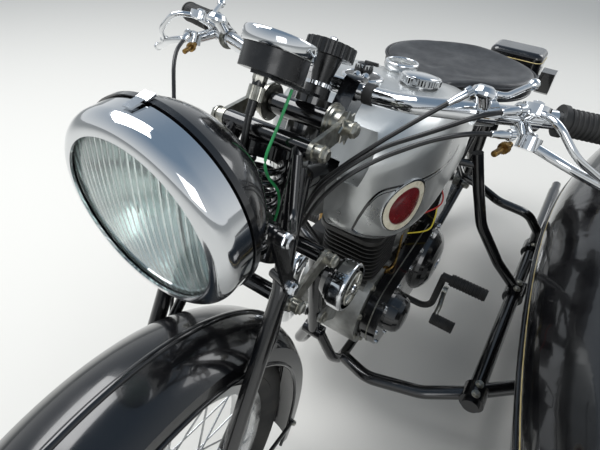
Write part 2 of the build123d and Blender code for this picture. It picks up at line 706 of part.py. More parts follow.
spring_x = 150
spring_y = 102
with BuildPart() as saddle_springs:
    for side in (-1, 1):
        y = side * spring_y
        add(rod((spring_x, y, 640), (spring_x, y, 646), 25))
        for turn in range(6):
            z = 646 + turn * 17
            add(rod((spring_x, y, z), (spring_x, y, z + 8.5), 21, 24))
            add(rod((spring_x, y, z + 8.5), (spring_x, y, z + 17), 24, 21))
        add(rod((spring_x, y, 748), (spring_x, y, saddle_z), 20))
        add(rod((196, side * 88, 504), (spring_x, y, 642), 9))
    add(rod((seat_lug[0] + 4, 0, seat_lug[2] + 30), (seat_lug[0] + 4, 0, 754), 18))
    add(box((300, -14, 748), (440, 14, saddle_z)))
    add(frame_runs(gap), mode=Mode.SUBTRACT)
keep(saddle_springs, "saddle_springs")

# Petrol tank: X, half width, lowest and highest Z and corner radius of each section
tank_sections = (
    (947, 62, 722, 836, 44),
    (905, 120, 664, 868, 50),
    (790, 154, 628, 893, 64),
    (640, 157, 637, 876, 70),
    (530, 146, 656, 836, 64),
    (454, 102, 686, 806, 50),
)


def section_loft(sections, centre_y, inset=0):
    """A solid through upright rounded sections along X."""
    with BuildPart() as piece:
        for x, half, low, high, corner in sections:
            plane = Plane(origin=(x, centre_y, (low + high) / 2), x_dir=(0, 1, 0), z_dir=(1, 0, 0))
            with BuildSketch(plane):
                RectangleRounded(2 * (half - inset), high - low - 2 * inset, corner - inset)
        loft()
    return piece.part


with BuildPart() as fuel_tank:
    add(section_loft(tank_sections, 0))
    with BuildSketch(Plane.XZ.offset(-23)):
        with BuildLine():
            Polyline((400, 600), (1040, 600), (tank_tube_front[0], tank_tube_front[2] + 22),
                     (seat_lug[0], seat_lug[2] + 22), (400, 716), close=True)
        make_face()
    extrude(amount=46, mode=Mode.SUBTRACT)
    add(rod((0, 0, 930), (0, 0, 1020), 116).moved(steer_place), mode=Mode.SUBTRACT)
keep(fuel_tank, "fuel_tank")

with BuildPart() as tank_fittings:
    add(rod((726, 66, 850), (721, 66, 893), 30))
    add(rod((721, 66, 893), (719, 66, 906), 35))
    add(rod((828, 0, 860), (823, 0, 916), 33))
    add(rod((823, 0, 916), (821, 0, 936), 14))
    add(rod((652, 0, 850), (649, 0, 896), 31))
    add(section_loft(tank_sections, 0, -gap), mode=Mode.SUBTRACT)
keep(tank_fittings, "tank_fittings")

# Engine: one plain crankcase block, then the parts that stand on it
crank = (683, 288)
clutch = (452, 306)
chain_y = hub_flange_y + drum_depth - 3
case_half = 78
deck_z = 396
with BuildPart() as crankcase:
    add(cross_bar(*crank, -case_half, case_half, 118))
    add(box((560, -60, 214), (683, 60, 360)))
    add(box((610, -64, 330), (756, 64, deck_z)))
    add(strap(crank, (600, 356), -case_half - 34, -case_half, 84, 48))
    add(box((600, -120, deck_z), (780, 120, 460)), mode=Mode.SUBTRACT)
    for side in (-1, 1):
        add(strap((876, 372), (800, 330), *sorted((side * (tube_radius + gap), side * (tube_radius + 6))), 16, 30))
keep(crankcase, "crankcase")

fin_count = 9
port_y = -97
port_depth = 116
with BuildPart() as cylinder:
    add(rod((crank[0], 0, deck_z), (crank[0], 0, 520), 48))
    add(box((crank[0] - 62, -62, deck_z), (crank[0] + 62, 62, deck_z + 8)))
    add(box((crank[0] - 40, -port_depth, deck_z + 8), (crank[0] + 45, -40, 474)))
    with BuildSketch(*[Plane.XY.offset(414 + 12 * n) for n in range(fin_count)]):
        with Locations((crank[0], 0)):
            RectangleRounded(152, 150, 36)
    extrude(amount=3)
keep(cylinder, "cylinder")

with BuildPart() as cylinder_head:
    with BuildSketch(Plane.XY.offset(520)):
        with Locations((crank[0], -8)):
            RectangleRounded(150, 160, 36)
    extrude(amount=12)
    for n in range(9):
        y = -72 + 16 * n
        add(box((crank[0] - 70 + abs(n - 4) * 4, y - 10, 532), (crank[0] + 70 - abs(n - 4) * 4, y - 6, 556)))
    add(rod((crank[0], -8, 532), (crank[0], -8, 562), 14))
keep(cylinder_head, "cylinder_head")

with BuildPart() as magneto:
    add(box((512, -52, 360), (588, 40, 420)))
    add(cross_bar(558, 440, -56, 64, 40))
    add(cross_bar(558, 440, 64, 76, 30))
keep(magneto, "magneto")

with BuildPart() as carburettor:
    add(rod((crank[0] - 40, port_y, 450), (606, port_y, 450), 17))
    add(rod((596, port_y, 412), (596, port_y, 516), 20))
    add(rod((596, port_y, 516), (596, port_y, 526), 14))
    add(rod((584, port_y, 450), (560, port_y, 450), 25, 29))
    add(rod((622, port_y - 34, 414), (622, port_y - 34, 456), 19))
    add(rod((622, port_y - 34, 424), (596, port_y, 424), 8))
keep(carburettor, "carburettor")

silencer_start = (330, -144, 186)
silencer_end = (-110, -155, 226)
with BuildPart() as exhaust:
    add(bent(((crank[0] + 45, port_y, 440), (812, port_y, 440), (846, port_y - 8, 300), (800, -132, 180),
              (700, -140, 178), (310, -144.5, 188)), 19, [60, 80, 60, 150]))
    add(turned(silencer_start, silencer_end, ((0, 23), (44, 44), (390, 44), (442, 18))))
keep(exhaust, "exhaust")

with BuildPart() as gearbox:
    with BuildSketch(Plane.XZ.offset(-48)):
        with Locations(((424 + 560) / 2, 262)):
            RectangleRounded(560 - 424, 150, 30)
    extrude(amount=128)
    add(cross_bar(500, 262, -100, -80, 52))
    add(cross_bar(*clutch, 48, case_half + 4, 14))
    add(cross_bar(*clutch, chain_y - 3, chain_y + 3, 34.5))
keep(gearbox, "gearbox")

chaincase_in = case_half + 4
chaincase_out = chaincase_in + 44
with BuildPart() as chaincase:
    add(strap(crank, clutch, chaincase_in, chaincase_out, 98, 112))
    add(turned((crank[0], chaincase_out, crank[1]), (crank[0], 400, crank[1]),
               ((0, 54), (24, 50), (34, 44), (40, 32), (42, 18))))
    add(turned((clutch[0], chaincase_out, clutch[1]), (clutch[0], 400, clutch[1]),
               ((0, 96), (10, 93), (20, 84), (29, 70), (35, 52), (38, 30), (39, 12))))
    add(rod((crank[0], case_half, crank[1]), (crank[0], chaincase_in, crank[1]), 60))
keep(chaincase, "chaincase")

# Drive chain
chain_front = (clutch[0], clutch[1], 40)
chain_rear = (0, tyre_radius, rear_sprocket_radius + 9.2)


def belt(front, back, grow, y_from, y_to):
    """A flat-sided block round two circles, each given as X, Z and radius."""
    return strap(back[:2], front[:2], y_from, y_to, back[2] + grow, front[2] + grow)


with BuildPart() as drive_chain:
    add(belt(chain_front, chain_rear, 5, chain_y - 7, chain_y + 7))
    add(belt(chain_front, chain_rear, -5, chain_y - 10, chain_y + 10), mode=Mode.SUBTRACT)
keep(drive_chain, "drive_chain")

with BuildPart() as footrests:
    add(bent(((455, -196, 276), (455, -188, 130), (455, 188, 130), (455, 196, 276)), 10, [40, 40]))
    for side in (-1, 1):
        add(cross_bar(458, 278, side * 190, side * 216, 12))
        add(cross_bar(458, 278, side * 216, side * 321, 17))
    add(frame_runs(gap), mode=Mode.SUBTRACT)
keep(footrests, "footrests")

with BuildPart() as foot_levers:
    add(bent(((462, 212, 234), (520, 220, 222), (572, 222, 218)), 7, [80]))
    add(cross_bar(462, 234, 206, 219, 14))
    add(cross_bar(572, 218, 214, 276, 15))
    add(cross_bar(500, 262, -168, -100, 10))
    add(bent(((500, -162, 262), (440, -164, 330), (404, -168, 408)), 8, [120]))
    add(cross_bar(404, 408, -230, -160, 10))
    add(cross_bar(546, 304, -146, -80, 7))
    add(bent(((546, -142, 304), (600, -146, 262), (650, -150, 262)), 6, [60]))
    add(cross_bar(650, 262, -196, -144, 10))
keep(foot_levers, "foot_levers")

with BuildPart() as horn:
    add(turned((897, 24, 528), (900, 90, 530), ((0, 24), (8, 38), (22, 46), (32, 47))))
    add(turned((899, 54, 530), (900, 90, 530.4), ((0, 52), (20, 52), (26, 48), (30, 38))))
    add(rod((893, 8, 508), (897, 36, 522), 7))
    add(frame_runs(gap), mode=Mode.SUBTRACT)
keep(horn, "horn")

with BuildPart() as side_boxes:
    add(box((382, 28, 440), (470, 118, 580)))
    add(box((382, -140, 440), (464, -28, 590)))
    add(rod((420, -88, 590), (420, -88, 606), 20))
    add(box((404, -30, 470), (430, 30, 484)))
    add(frame_runs(gap), mode=Mode.SUBTRACT)
keep(side_boxes, "side_boxes")

# Sidecar chassis and the arms that hold it to the machine
inner_rail_y = 385
outer_rail_y = 930
sidecar_rail_z = 250
sidecar_rail_radius = 19
cross_radius = 17
middle_cross_x = 320
outer_rail_radius = 18
rear_cross_x = -106
rail_rear = -330
spigot_radius = 16
spigot_length = 60
front_cross = ((752, inner_rail_y, 248), (677, 463, 244), (600, 590, 244), (500, outer_rail_y, sidecar_rail_z))


def cross_tubes(grow=0):
    """The tubes across the chassis, or the room they need when grown."""
    with BuildPart() as tubes:
        add(bent(front_cross, cross_radius + grow, [80, 120]))
        for x in (middle_cross_x, rear_cross_x):
            add(cross_bar(x, sidecar_rail_z, inner_rail_y, outer_rail_y, cross_radius + grow))
    return tubes.part


with BuildPart() as sidecar_chassis:
    add(rod((rail_rear, inner_rail_y, sidecar_rail_z), (800, inner_rail_y, sidecar_rail_z), sidecar_rail_radius))
    add(rod((rail_rear - spigot_length, inner_rail_y, sidecar_rail_z), (rail_rear, inner_rail_y, sidecar_rail_z),
            spigot_radius))
    add(rod((rail_rear, outer_rail_y, sidecar_rail_z), (526, outer_rail_y, sidecar_rail_z), outer_rail_radius))
    add(cross_tubes())
    add(bent(((sidecar_lead, inner_rail_y, sidecar_rail_z), (sidecar_lead, 1010, sidecar_rail_z),
              (sidecar_lead, 1070, tyre_radius)), 19, [40]))
    add(rod((sidecar_lead, 1064, tyre_radius), (sidecar_lead, track - sidecar_hub_half - 1, tyre_radius), 22))
    add(rod((sidecar_lead, 1064, tyre_radius), (sidecar_lead, track + sidecar_hub_half + 14, tyre_radius), axle_radius))
    add(rod((sidecar_lead, track + sidecar_hub_half + 2, tyre_radius),
            (sidecar_lead, track + sidecar_hub_half + 12, tyre_radius), 14))
keep(sidecar_chassis, "sidecar_chassis")

with BuildPart() as sidecar_arms:
    add(bent(((818, 74, 196), (840, 150, 200), (812, 280, 222), (768, 366, 246)), 16, [90, 120]))
    add(rod((744, inner_rail_y, sidecar_rail_z), (790, inner_rail_y, sidecar_rail_z), 28))
    add(rod((418, 14, 604), (392, 168, 614), 10))
    add(bent(((391, 156, 646), (386, 190, 545), (380, 230, 440), (370, 310, 335), (358, 374, 272)), 15,
             [150, 150, 90]))
    add(rod((332, inner_rail_y, sidecar_rail_z), (386, inner_rail_y, sidecar_rail_z), 28))
    add(bent(((54, 94, 386), (104, 150, 404), (160, 236, 402), (158, 330, 396), (128, 376, 330), (112, 382, 272)),
             14, [60, 60, 50, 40]))
    add(rod((86, inner_rail_y, sidecar_rail_z), (138, inner_rail_y, sidecar_rail_z), 28))
    add(rod((-400, inner_rail_y, sidecar_rail_z), (900, inner_rail_y, sidecar_rail_z),
            sidecar_rail_radius + gap), mode=Mode.SUBTRACT)
    add(cross_tubes(gap), mode=Mode.SUBTRACT)
    add(frame_runs(gap), mode=Mode.SUBTRACT)
keep(sidecar_arms, "sidecar_arms")

# Sidecar body: X, half width at the bead, lowest and highest Z of each section
body_y = 695
body_wall = 16
bead_z = 450
shoulder_turn = radians(35)
body_sections = (
    (-560, 112, 384, 588),
    (-330, 222, 330, 684),
    (-100, 284, 304, 702),
    (150, 313, 300, 694),
    (450, 311, 298, 664),
    (740, 282, 300, 642),
    (982, 241, 312, 621),
    (1200, 180, 344, 588),
    (1330, 120, 376, 556),
    (1430, 52, 410, 516),
)
body_room = ((-536, 124, 378, 592),) + body_sections[1:8] + ((1296,) + body_sections[8][1:],)


def body_loft(sections, inset=0):
    """A boat-like solid: sloping lower sides up to a bead, then rounded shoulders and a crowned deck."""
    lean = 1 / cos(shoulder_turn) - tan(shoulder_turn)
    with BuildPart() as piece:
        for x, half, low, high in sections:
            h = half - inset
            keel = low + inset - bead_z
            top = high - inset - bead_z
            shoulder = (top - h * lean) / (1 - lean)
            crown = shoulder + (h - shoulder) / cos(shoulder_turn)
            joint = (crown * cos(shoulder_turn), top - crown + crown * sin(shoulder_turn))
            middle = (h - shoulder + shoulder * cos(shoulder_turn / 2), shoulder * sin(shoulder_turn / 2))
            with BuildSketch(Plane(origin=(x, body_y, bead_z), x_dir=(0, 1, 0), z_dir=(1, 0, 0))):
                with BuildLine():
                    Polyline((-h, 0), (-0.87 * h, keel + 18), (-0.8 * h, keel), (0.8 * h, keel),
                             (0.87 * h, keel + 18), (h, 0))
                    ThreePointArc((h, 0), middle, joint)
                    ThreePointArc(joint, (0, top), (-joint[0], joint[1]))
                    ThreePointArc((-joint[0], joint[1]), (-middle[0], middle[1]), (-h, 0))
                make_face()
        loft()
    return piece.part


with BuildPart() as sidecar_body:
    add(body_loft(body_sections))
    add(body_loft(body_room, body_wall), mode=Mode.SUBTRACT)
    with BuildSketch(Plane.XY.offset(520)):
        with Locations((30, body_y)):
            RectangleRounded(520, 384, 120)
    extrude(amount=300, mode=Mode.SUBTRACT)
keep(sidecar_body, "sidecar_body")

with BuildPart() as sidecar_seat:
    add(box((-166, body_y - 206, 300), (264, body_y + 206, 440)))
    with BuildSketch(Plane.XZ.offset(-(body_y - 186))):
        with BuildLine():
            Polyline((-216, 440), (-96, 440), (-152, 664), (-216, 664), close=True)
        make_face()
    extrude(amount=-372)
    add(body_loft(body_room, body_wall + gap), mode=Mode.INTERSECT)
keep(sidecar_seat, "sidecar_seat")

with BuildPart() as sidecar_screen:
    with BuildSketch(Plane(origin=(352, body_y, 690), x_dir=(0, 1, 0), z_dir=(1, 0, 0.35))):
        RectangleRounded(384, 260, 60)
    extrude(amount=5)
    add(body_loft(body_sections, -gap), mode=Mode.SUBTRACT)
keep(sidecar_screen, "sidecar_screen")

sidecar_guard_half = 72
with BuildPart() as sidecar_mudguard:
    add(mudguard(guard_radius - 4, sidecar_guard_half, 56, 6, 188, 0).part.moved(sidecar_centre))
    for reach in (-286, 286):
        add(bent(((sidecar_lead + reach, outer_rail_y, sidecar_rail_z), (sidecar_lead + reach, 1004, 258),
                  (sidecar_lead + reach, track - sidecar_guard_half, tyre_radius + 165)), 9, [40]))
    add(rod((-340, outer_rail_y, sidecar_rail_z), (530, outer_rail_y, sidecar_rail_z),
            outer_rail_radius + gap), mode=Mode.SUBTRACT)
keep(sidecar_mudguard, "sidecar_mudguard")

with BuildPart() as sidecar_springs:
    for x, y in ((rear_cross_x, 520), (rear_cross_x, 870), (610, 573), (525, 845)):
        add(rod((x, y, sidecar_rail_z), (x, y, 350), 26, 24))
    add(cross_tubes(gap), mode=Mode.SUBTRACT)
    add(body_loft(body_sections, -gap), mode=Mode.SUBTRACT)
keep(sidecar_springs, "sidecar_springs")
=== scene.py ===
# %% [markdown]
# # A girder-fork motorcycle and its sidecar
#
# The hard parts of this machine, its tubes, wheels, tank, engine and sidecar shell, come from
# a CAD model whose solids are already in place. This lesson dresses them. It gives every
# surface the finish that the real one has, and adds what CAD leaves plain: tread, bolts and
# screws, flutes in the lamp glass, painted lines, padded seats and chain links.

# %% The tools of this lesson and the CAD frame
import bpy
import bmesh
import json
from math import acos, atan2, cos, hypot, pi, radians, sin, sqrt
from mathutils import Matrix, Vector


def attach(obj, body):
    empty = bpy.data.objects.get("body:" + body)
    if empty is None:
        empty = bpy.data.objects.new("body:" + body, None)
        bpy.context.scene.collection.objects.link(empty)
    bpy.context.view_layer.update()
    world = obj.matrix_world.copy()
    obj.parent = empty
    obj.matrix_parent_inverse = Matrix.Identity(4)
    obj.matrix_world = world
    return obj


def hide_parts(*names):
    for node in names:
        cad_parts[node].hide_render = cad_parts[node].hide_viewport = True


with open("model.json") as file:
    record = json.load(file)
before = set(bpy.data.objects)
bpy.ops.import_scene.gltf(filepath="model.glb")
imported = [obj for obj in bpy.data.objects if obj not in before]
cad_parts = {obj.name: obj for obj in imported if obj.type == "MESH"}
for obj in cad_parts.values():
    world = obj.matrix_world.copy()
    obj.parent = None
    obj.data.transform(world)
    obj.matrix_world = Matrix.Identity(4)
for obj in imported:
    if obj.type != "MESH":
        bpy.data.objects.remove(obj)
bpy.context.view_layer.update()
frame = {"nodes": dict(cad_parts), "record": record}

# %% [markdown]
# Everything is drawn in the machine's own millimetres, because a maker thinks in them:
# X forward from the rear axle, Y to the left from the centre plane, Z up from the ground.
# One function turns such a point into the frame's metres.

# %% Millimetres on the machine to metres in the frame
REAR_AXLE_X = -0.590
CENTRE_PLANE_Y = -0.381
FRONT_AXLE_X = 1372
AXLE_HEIGHT = 328


def at(x, y, z):
    """A point in the machine's millimetres, as metres in the frame."""
    return Vector((x / 1000 + REAR_AXLE_X, y / 1000 + CENTRE_PLANE_Y, z / 1000))


# %% [markdown]
# ## Camera
#
# The photographer stood beside the front wheel and looked down over the headlamp along the
# machine. The place and the three directions of that camera were worked out from points on
# the machine whose size is known, so the render can be laid over the photograph.

# %% The photograph's camera
camera_data = bpy.data.cameras.new("camera")
camera_data.sensor_width = 36
camera_data.lens = 26.65
camera_data.clip_end = 160
camera = bpy.data.objects.new("camera", camera_data)
to_right = Vector((-0.5557, 0.8281, 0.0737))
to_front = Vector((-0.6752, -0.3977, -0.6213))
camera.matrix_world = Matrix.Translation(at(1496, 304, 1172)) @ Matrix((to_right, to_right.cross(to_front),
        -to_front)).transposed().to_4x4()
bpy.context.scene.collection.objects.link(camera)
bpy.context.scene.camera = camera
print("camera at", [round(v, 3) for v in camera.location])

# %% [markdown]
# ## A pale studio
#
# A plain pale floor and three soft lamps show the shapes, while a sky that darkens overhead
# gives chrome and gloss enamel something to reflect. What the camera and the reflections see
# is a colour of its own, so the machine isn't lit any harder for having a pale background.

# %% One helper for nodes, one for colours
def put(tree, kind, inputs=None, **settings):
    """Add a node, set it, and fill or link its inputs."""
    made = tree.nodes.new(kind)
    for name, value in settings.items():
        setattr(made, name, value)
    for socket, value in (inputs or {}).items():
        if isinstance(value, bpy.types.NodeSocket):
            tree.links.new(value, made.inputs[socket])
        else:
            made.inputs[socket].default_value = value
    return made


def linear(code):
    """An sRGB hex colour as the linear values that nodes take."""
    values = [int(code[n:n + 2], 16) / 255 for n in (1, 3, 5)]
    return [v / 12.92 if v <= 0.04045 else ((v + 0.055) / 1.055) ** 2.4 for v in values] + [1]


# %% World, lamps and floor
scene = bpy.context.scene
scene.view_settings.view_transform = "Standard"
world = bpy.data.worlds.new("studio")
scene.world = world
world.use_nodes = True
sky = world.node_tree
sky.nodes.clear()
path = put(sky, "ShaderNodeLightPath")
seen = put(sky, "ShaderNodeMath", {0: path.outputs["Is Camera Ray"], 1: path.outputs["Is Glossy Ray"]},
    operation="MAXIMUM")
seen = put(sky, "ShaderNodeMath", {0: seen.outputs[0], 1: path.outputs["Is Transmission Ray"]},
    operation="MAXIMUM")
height = put(sky, "ShaderNodeSeparateXYZ", {0: put(sky, "ShaderNodeTexCoord").outputs["Generated"]})
ramp = put(sky, "ShaderNodeValToRGB", {0: height.outputs["Z"]})
ramp.color_ramp.elements[0].color = linear("#e9ecee")
ramp.color_ramp.elements[1].position = 0.9
ramp.color_ramp.elements[1].color = linear("#7f93a8")
shown = put(sky, "ShaderNodeBackground", {"Color": ramp.outputs[0], "Strength": 1.0})
light = put(sky, "ShaderNodeBackground", {"Color": linear("#e8eef4"), "Strength": 0.62})
both = put(sky, "ShaderNodeMixShader", {0: seen.outputs[0], 1: light.outputs[0], 2: shown.outputs[0]})
put(sky, "ShaderNodeOutputWorld", {0: both.outputs[0]})

for name, place, size, power in (("softbox", (0.6, -2.6, 4.2), 3.0, 190), ("fill", (4.2, 2.4, 2.6), 2.4, 55),
    ("back", (-3.6, 1.6, 3.2), 2.4, 60)):
    lamp_data = bpy.data.lights.new(name, "AREA")
    lamp_data.size = size
    lamp_data.energy = power
    lamp = bpy.data.objects.new(name, lamp_data)
    lamp.location = place
    lamp.rotation_euler = (Vector((0, 0, 0.4)) - Vector(place)).to_track_quat("-Z", "Y").to_euler()
    scene.collection.objects.link(lamp)

floor_mesh = bpy.data.meshes.new("floor")
floor_mesh.from_pydata([(-60, -60, 0), (60, -60, 0), (60, 60, 0), (-60, 60, 0)], [], [(0, 1, 2, 3)])
floor = bpy.data.objects.new("floor", floor_mesh)
scene.collection.objects.link(floor)
paper = bpy.data.materials.new("floor_paper")
paper.use_nodes = True
paper.node_tree.nodes["Principled BSDF"].inputs["Base Color"].default_value = linear("#d6d5d1")
paper.node_tree.nodes["Principled BSDF"].inputs["Roughness"].default_value = 0.85
floor.data.materials.append(paper)

# %% [markdown]
# ## Finishes
#
# Each finish starts from what the real surface is and how it was made. One function makes them
# all: a base colour that may drift in patches, a roughness that may be hazy in patches, and a
# fine relief. Every pattern's scale is a real size in millimetres on the machine.

# %% Patterns with a real size, and one function for a finish
def pattern(tree, grain_mm, detail):
    """Noise on object coordinates whose grains are about this many millimetres."""
    coordinates = put(tree, "ShaderNodeTexCoord").outputs["Object"]
    return put(tree, "ShaderNodeTexNoise",
        {"Vector": coordinates, "Scale": 1000 / grain_mm, "Detail": detail}).outputs["Fac"]


def relief(tree, height_field, depth_mm, strength):
    """Bump of a real depth."""
    bump = put(tree, "ShaderNodeBump",
        {"Height": height_field, "Distance": depth_mm / 1000, "Strength": strength})
    tree.links.new(bump.outputs[0], tree.nodes["Principled BSDF"].inputs["Normal"])


def finish_of(name, colour, roughness, drift=None, haze=None, grain=None, **sockets):
    """A material: drift is (mm, detail, dark, light), haze is (mm, detail, smoothest, roughest)
    and grain is (mm, detail, depth in mm, strength)."""
    made = bpy.data.materials.new(name)
    made.use_nodes = True
    tree = made.node_tree
    shader = tree.nodes["Principled BSDF"].inputs
    shader["Base Color"].default_value = linear(colour)
    shader["Roughness"].default_value = roughness
    for socket, value in sockets.items():
        shader[socket.replace("_", " ")].default_value = value
    if drift:
        drifting = put(tree, "ShaderNodeValToRGB", {0: pattern(tree, *drift[:2])})
        for stop, place, shade in zip(drifting.color_ramp.elements, (0.35, 0.65), drift[2:]):
            stop.position = place
            stop.color = linear(shade)
        tree.links.new(drifting.outputs[0], shader["Base Color"])
    if haze:
        hazing = put(tree, "ShaderNodeMapRange", {"Value": pattern(tree, *haze[:2]), "From Min": 0.3,
                "From Max": 0.7, "To Min": haze[2], "To Max": haze[3]})
        tree.links.new(hazing.outputs[0], shader["Roughness"])
    if grain:
        relief(tree, pattern(tree, *grain[:2]), *grain[2:])
    return made


# %% [markdown]
# Stoved enamel is sprayed and baked: nearly black all through, with a hard clear gloss whose
# faint waviness, the orange peel, is about 3 mm from crest to crest. Fine dust makes it a
# little rougher in patches. The tank's silver is an enamel full of aluminium flake: half
# metal, half paint, satin, with a fine sparkle and slightly darker where hands and petrol
# have dulled it.

# %% Enamels
black_enamel = finish_of("stoved_black_enamel", "#0b0b0d", 0.14, None, (70, 4, 0.1, 0.26),
    (3.2, 1, 0.02, 0.35), Coat_Weight=0.6, Coat_Roughness=0.04)
silver_enamel = finish_of("silver_flake_enamel", "#b9bbba", 0.3, (120, 4, "#a9abaa", "#c3c5c4"),
    (45, 5, 0.26, 0.38), (0.8, 0, 0.01, 0.25), Metallic=0.75, Coat_Weight=0.5, Coat_Roughness=0.12)

# %% [markdown]
# Chrome plate is a mirror. Wiping leaves hazy patches, and on a wheel rim road dirt dulls it
# more. Zinc-plated steel is a soft grey metal with darker patches. Cast aluminium has the
# skin of the sand it was poured into, with a grain of about a millimetre, and black iron fins
# are painted dull and hold oil. Brass has gone brown, and the chain is oiled.

# %% Plates and metals
polished_chrome = finish_of("polished_chrome_plate", "#d4d6d8", 0.03, None, (35, 5, 0.03, 0.12), Metallic=1)
rim_chrome = finish_of("weathered_chrome_plate", "#bfc0c0", 0.09, None, (35, 5, 0.09, 0.3), Metallic=1)
zinc_plate = finish_of("zinc_plated_steel", "#a8a79f", 0.34, (9, 4, "#8d8b82", "#b5b4ac"), None,
    (0.7, 3, 0.02, 0.5), Metallic=1)
cast_alloy = finish_of("sand_cast_aluminium", "#a3a4a2", 0.46, (60, 5, "#7f7f7b", "#b0b1af"),
    (25, 4, 0.36, 0.62), (1.1, 4, 0.12, 0.6), Metallic=0.9)
black_iron = finish_of("black_painted_iron", "#161616", 0.5, (30, 5, "#101011", "#232220"), None,
    (0.9, 4, 0.1, 0.5))
old_brass = finish_of("tarnished_brass", "#8c6d3c", 0.36, (8, 5, "#5d4526", "#a08049"), Metallic=1)
chain_steel = finish_of("oiled_chain_steel", "#4b4742", 0.36, (6, 4, "#2c2926", "#5e5952"), Metallic=1)

# %% [markdown]
# The knob and the instrument case are moulded in a hard black plastic, the cables are sheathed
# in smoother black vinyl, and the grips, pegs and tyres are rubber: matt, greyed on the
# surface by dust, with a skin grain well under a millimetre.

# %% Black plastic, vinyl and rubber
hard_plastic = finish_of("moulded_black_plastic", "#101011", 0.24, None, (12, 4, 0.18, 0.36),
    (0.9, 3, 0.02, 0.3))
cable_vinyl = finish_of("vinyl_cable_sheath", "#121213", 0.38, grain=(1.2, 3, 0.03, 0.3))
grip_rubber = finish_of("moulded_grip_rubber", "#191919", 0.62, (22, 5, "#131313", "#262524"), None,
    (0.8, 4, 0.05, 0.6))
tyre_rubber = finish_of("tyre_rubber", "#1d1d1d", 0.72, (55, 6, "#161616", "#302e2b"), None,
    (1, 5, 0.08, 0.7))

# %% [markdown]
# The seats are covered in leathercloth, a vinyl skin pressed with a leather grain of small
# rounded cells almost 2 mm across. It shines where people have sat on it. The cells are a
# Voronoi pattern, because its distance to the nearest cell's middle is a small round dome.

# %% Leathercloth
leathercloth = finish_of("black_leathercloth", "#1c1c1e", 0.42, (18, 5, "#17171a", "#28292b"),
    (60, 4, 0.32, 0.52))
tree = leathercloth.node_tree
cells = put(tree, "ShaderNodeTexVoronoi",
    {"Vector": put(tree, "ShaderNodeTexCoord").outputs["Object"], "Scale": 1000 / 1.9})
relief(tree, cells.outputs["Distance"], 0.25, 0.55)

# %% [markdown]
# The lamp glass is pressed and faintly green in its thickness. The windscreen is a thin sheet
# of clear acrylic, and the reflector behind the lamp glass is silvered.

# %% Glass, acrylic and silvering
lamp_glass = finish_of("pressed_lamp_glass", "#e6f1ef", 0.05, None, (20, 3, 0.03, 0.1),
    Transmission_Weight=0.93, IOR=1.45)
acrylic = finish_of("clear_acrylic", "#f2f6f6", 0.03, None, (40, 3, 0.02, 0.08), Transmission_Weight=0.95,
    IOR=1.2)
silvering = finish_of("lamp_reflector_silver", "#dfe1e0", 0.1, None, (30, 3, 0.07, 0.16), Metallic=1)

# %% [markdown]
# Wires, dials, the tank's roundel and the lamp at the back need a few more colours. Each is a
# dyed vinyl or a sprayed enamel, so one function gives them all a slightly uneven colour and a
# fine surface, and only colour and gloss differ.


def sprayed(name, slot_name, first, second, roughness, grain_mm=14, **sockets):
    """An even colour with a little drift in it and a fine surface; slot_name is not used."""
    return finish_of(name, first, roughness, (grain_mm, 4, first, second),
        (grain_mm * 2, 4, roughness * 0.8, roughness * 1.3), (1.4, 3, 0.02, 0.3), **sockets)


green_vinyl = sprayed("green_wire_vinyl", "cable_black", "#1f8a4c", "#2a9c5a", 0.4)
red_vinyl = sprayed("red_wire_vinyl", "cable_black", "#a3201c", "#b82c24", 0.4)
yellow_vinyl = sprayed("yellow_wire_vinyl", "cable_black", "#c9b52a", "#d8c63c", 0.4)
dial_black = sprayed("dial_black", "black_plastic", "#0e0e10", "#16161a", 0.45)
dial_white = sprayed("dial_white", "black_plastic", "#dedcd2", "#ebe9e0", 0.5)
roundel_red = sprayed("roundel_red", "black_paint", "#5a1116", "#6c171c", 0.22, Coat_Weight=0.6)
roundel_cream = sprayed("roundel_cream", "silver_paint", "#cfc7b0", "#ddd6c2", 0.26, Coat_Weight=0.5)
coach_gold = sprayed("coach_line_gold", "brass", "#c6b072", "#d6c48c", 0.3, Coat_Weight=0.4)
rubber_mat = sprayed("worn_rubber", "rubber", "#1c1b1a", "#2b2a28", 0.66, 9)
tail_red = sprayed("tail_lens_red", "lamp_glass", "#8c0f12", "#a3171a", 0.12, 20, Transmission_Weight=0.35,
    IOR=1.49)
white_ceramic = sprayed("plug_ceramic", "black_plastic", "#d9d6cd", "#e6e3da", 0.18)

# %% [markdown]
# ## Finishing the CAD pieces
#
# A CAD piece whose shape is right keeps it and only gets its finish. The record names a
# finish slot for every piece, so one table from slot to finish covers them all.

# %% Every CAD piece takes the finish of its slot
slot_finish = {"black_paint": black_enamel, "silver_paint": silver_enamel, "chrome": polished_chrome,
    "wheel_chrome": rim_chrome, "bright_steel": zinc_plate, "chain_steel": chain_steel,
    "aluminium": cast_alloy, "cast_iron": black_iron, "brass": old_brass, "black_plastic": hard_plastic,
    "cable_black": cable_vinyl, "rubber": grip_rubber, "tyre": tyre_rubber, "leather": leathercloth,
    "lamp_glass": lamp_glass, "screen": acrylic}
for entry in frame["record"]["subparts"]:
    node_object = frame["nodes"][entry["node"]]
    node_object.data.materials.clear()
    node_object.data.materials.append(slot_finish[entry["material_slot"]])
print(len(frame["nodes"]), "CAD pieces finished")

# %% [markdown]
# ## Making pieces
#
# A few small functions cover most of what follows. One makes a piece that rides on a body from
# a list of points and faces, and the others turn a profile as a lathe does, sweep a section
# along points, or stretch one outline to another. A shape is made in the machine's millimetres
# and placed at the end.

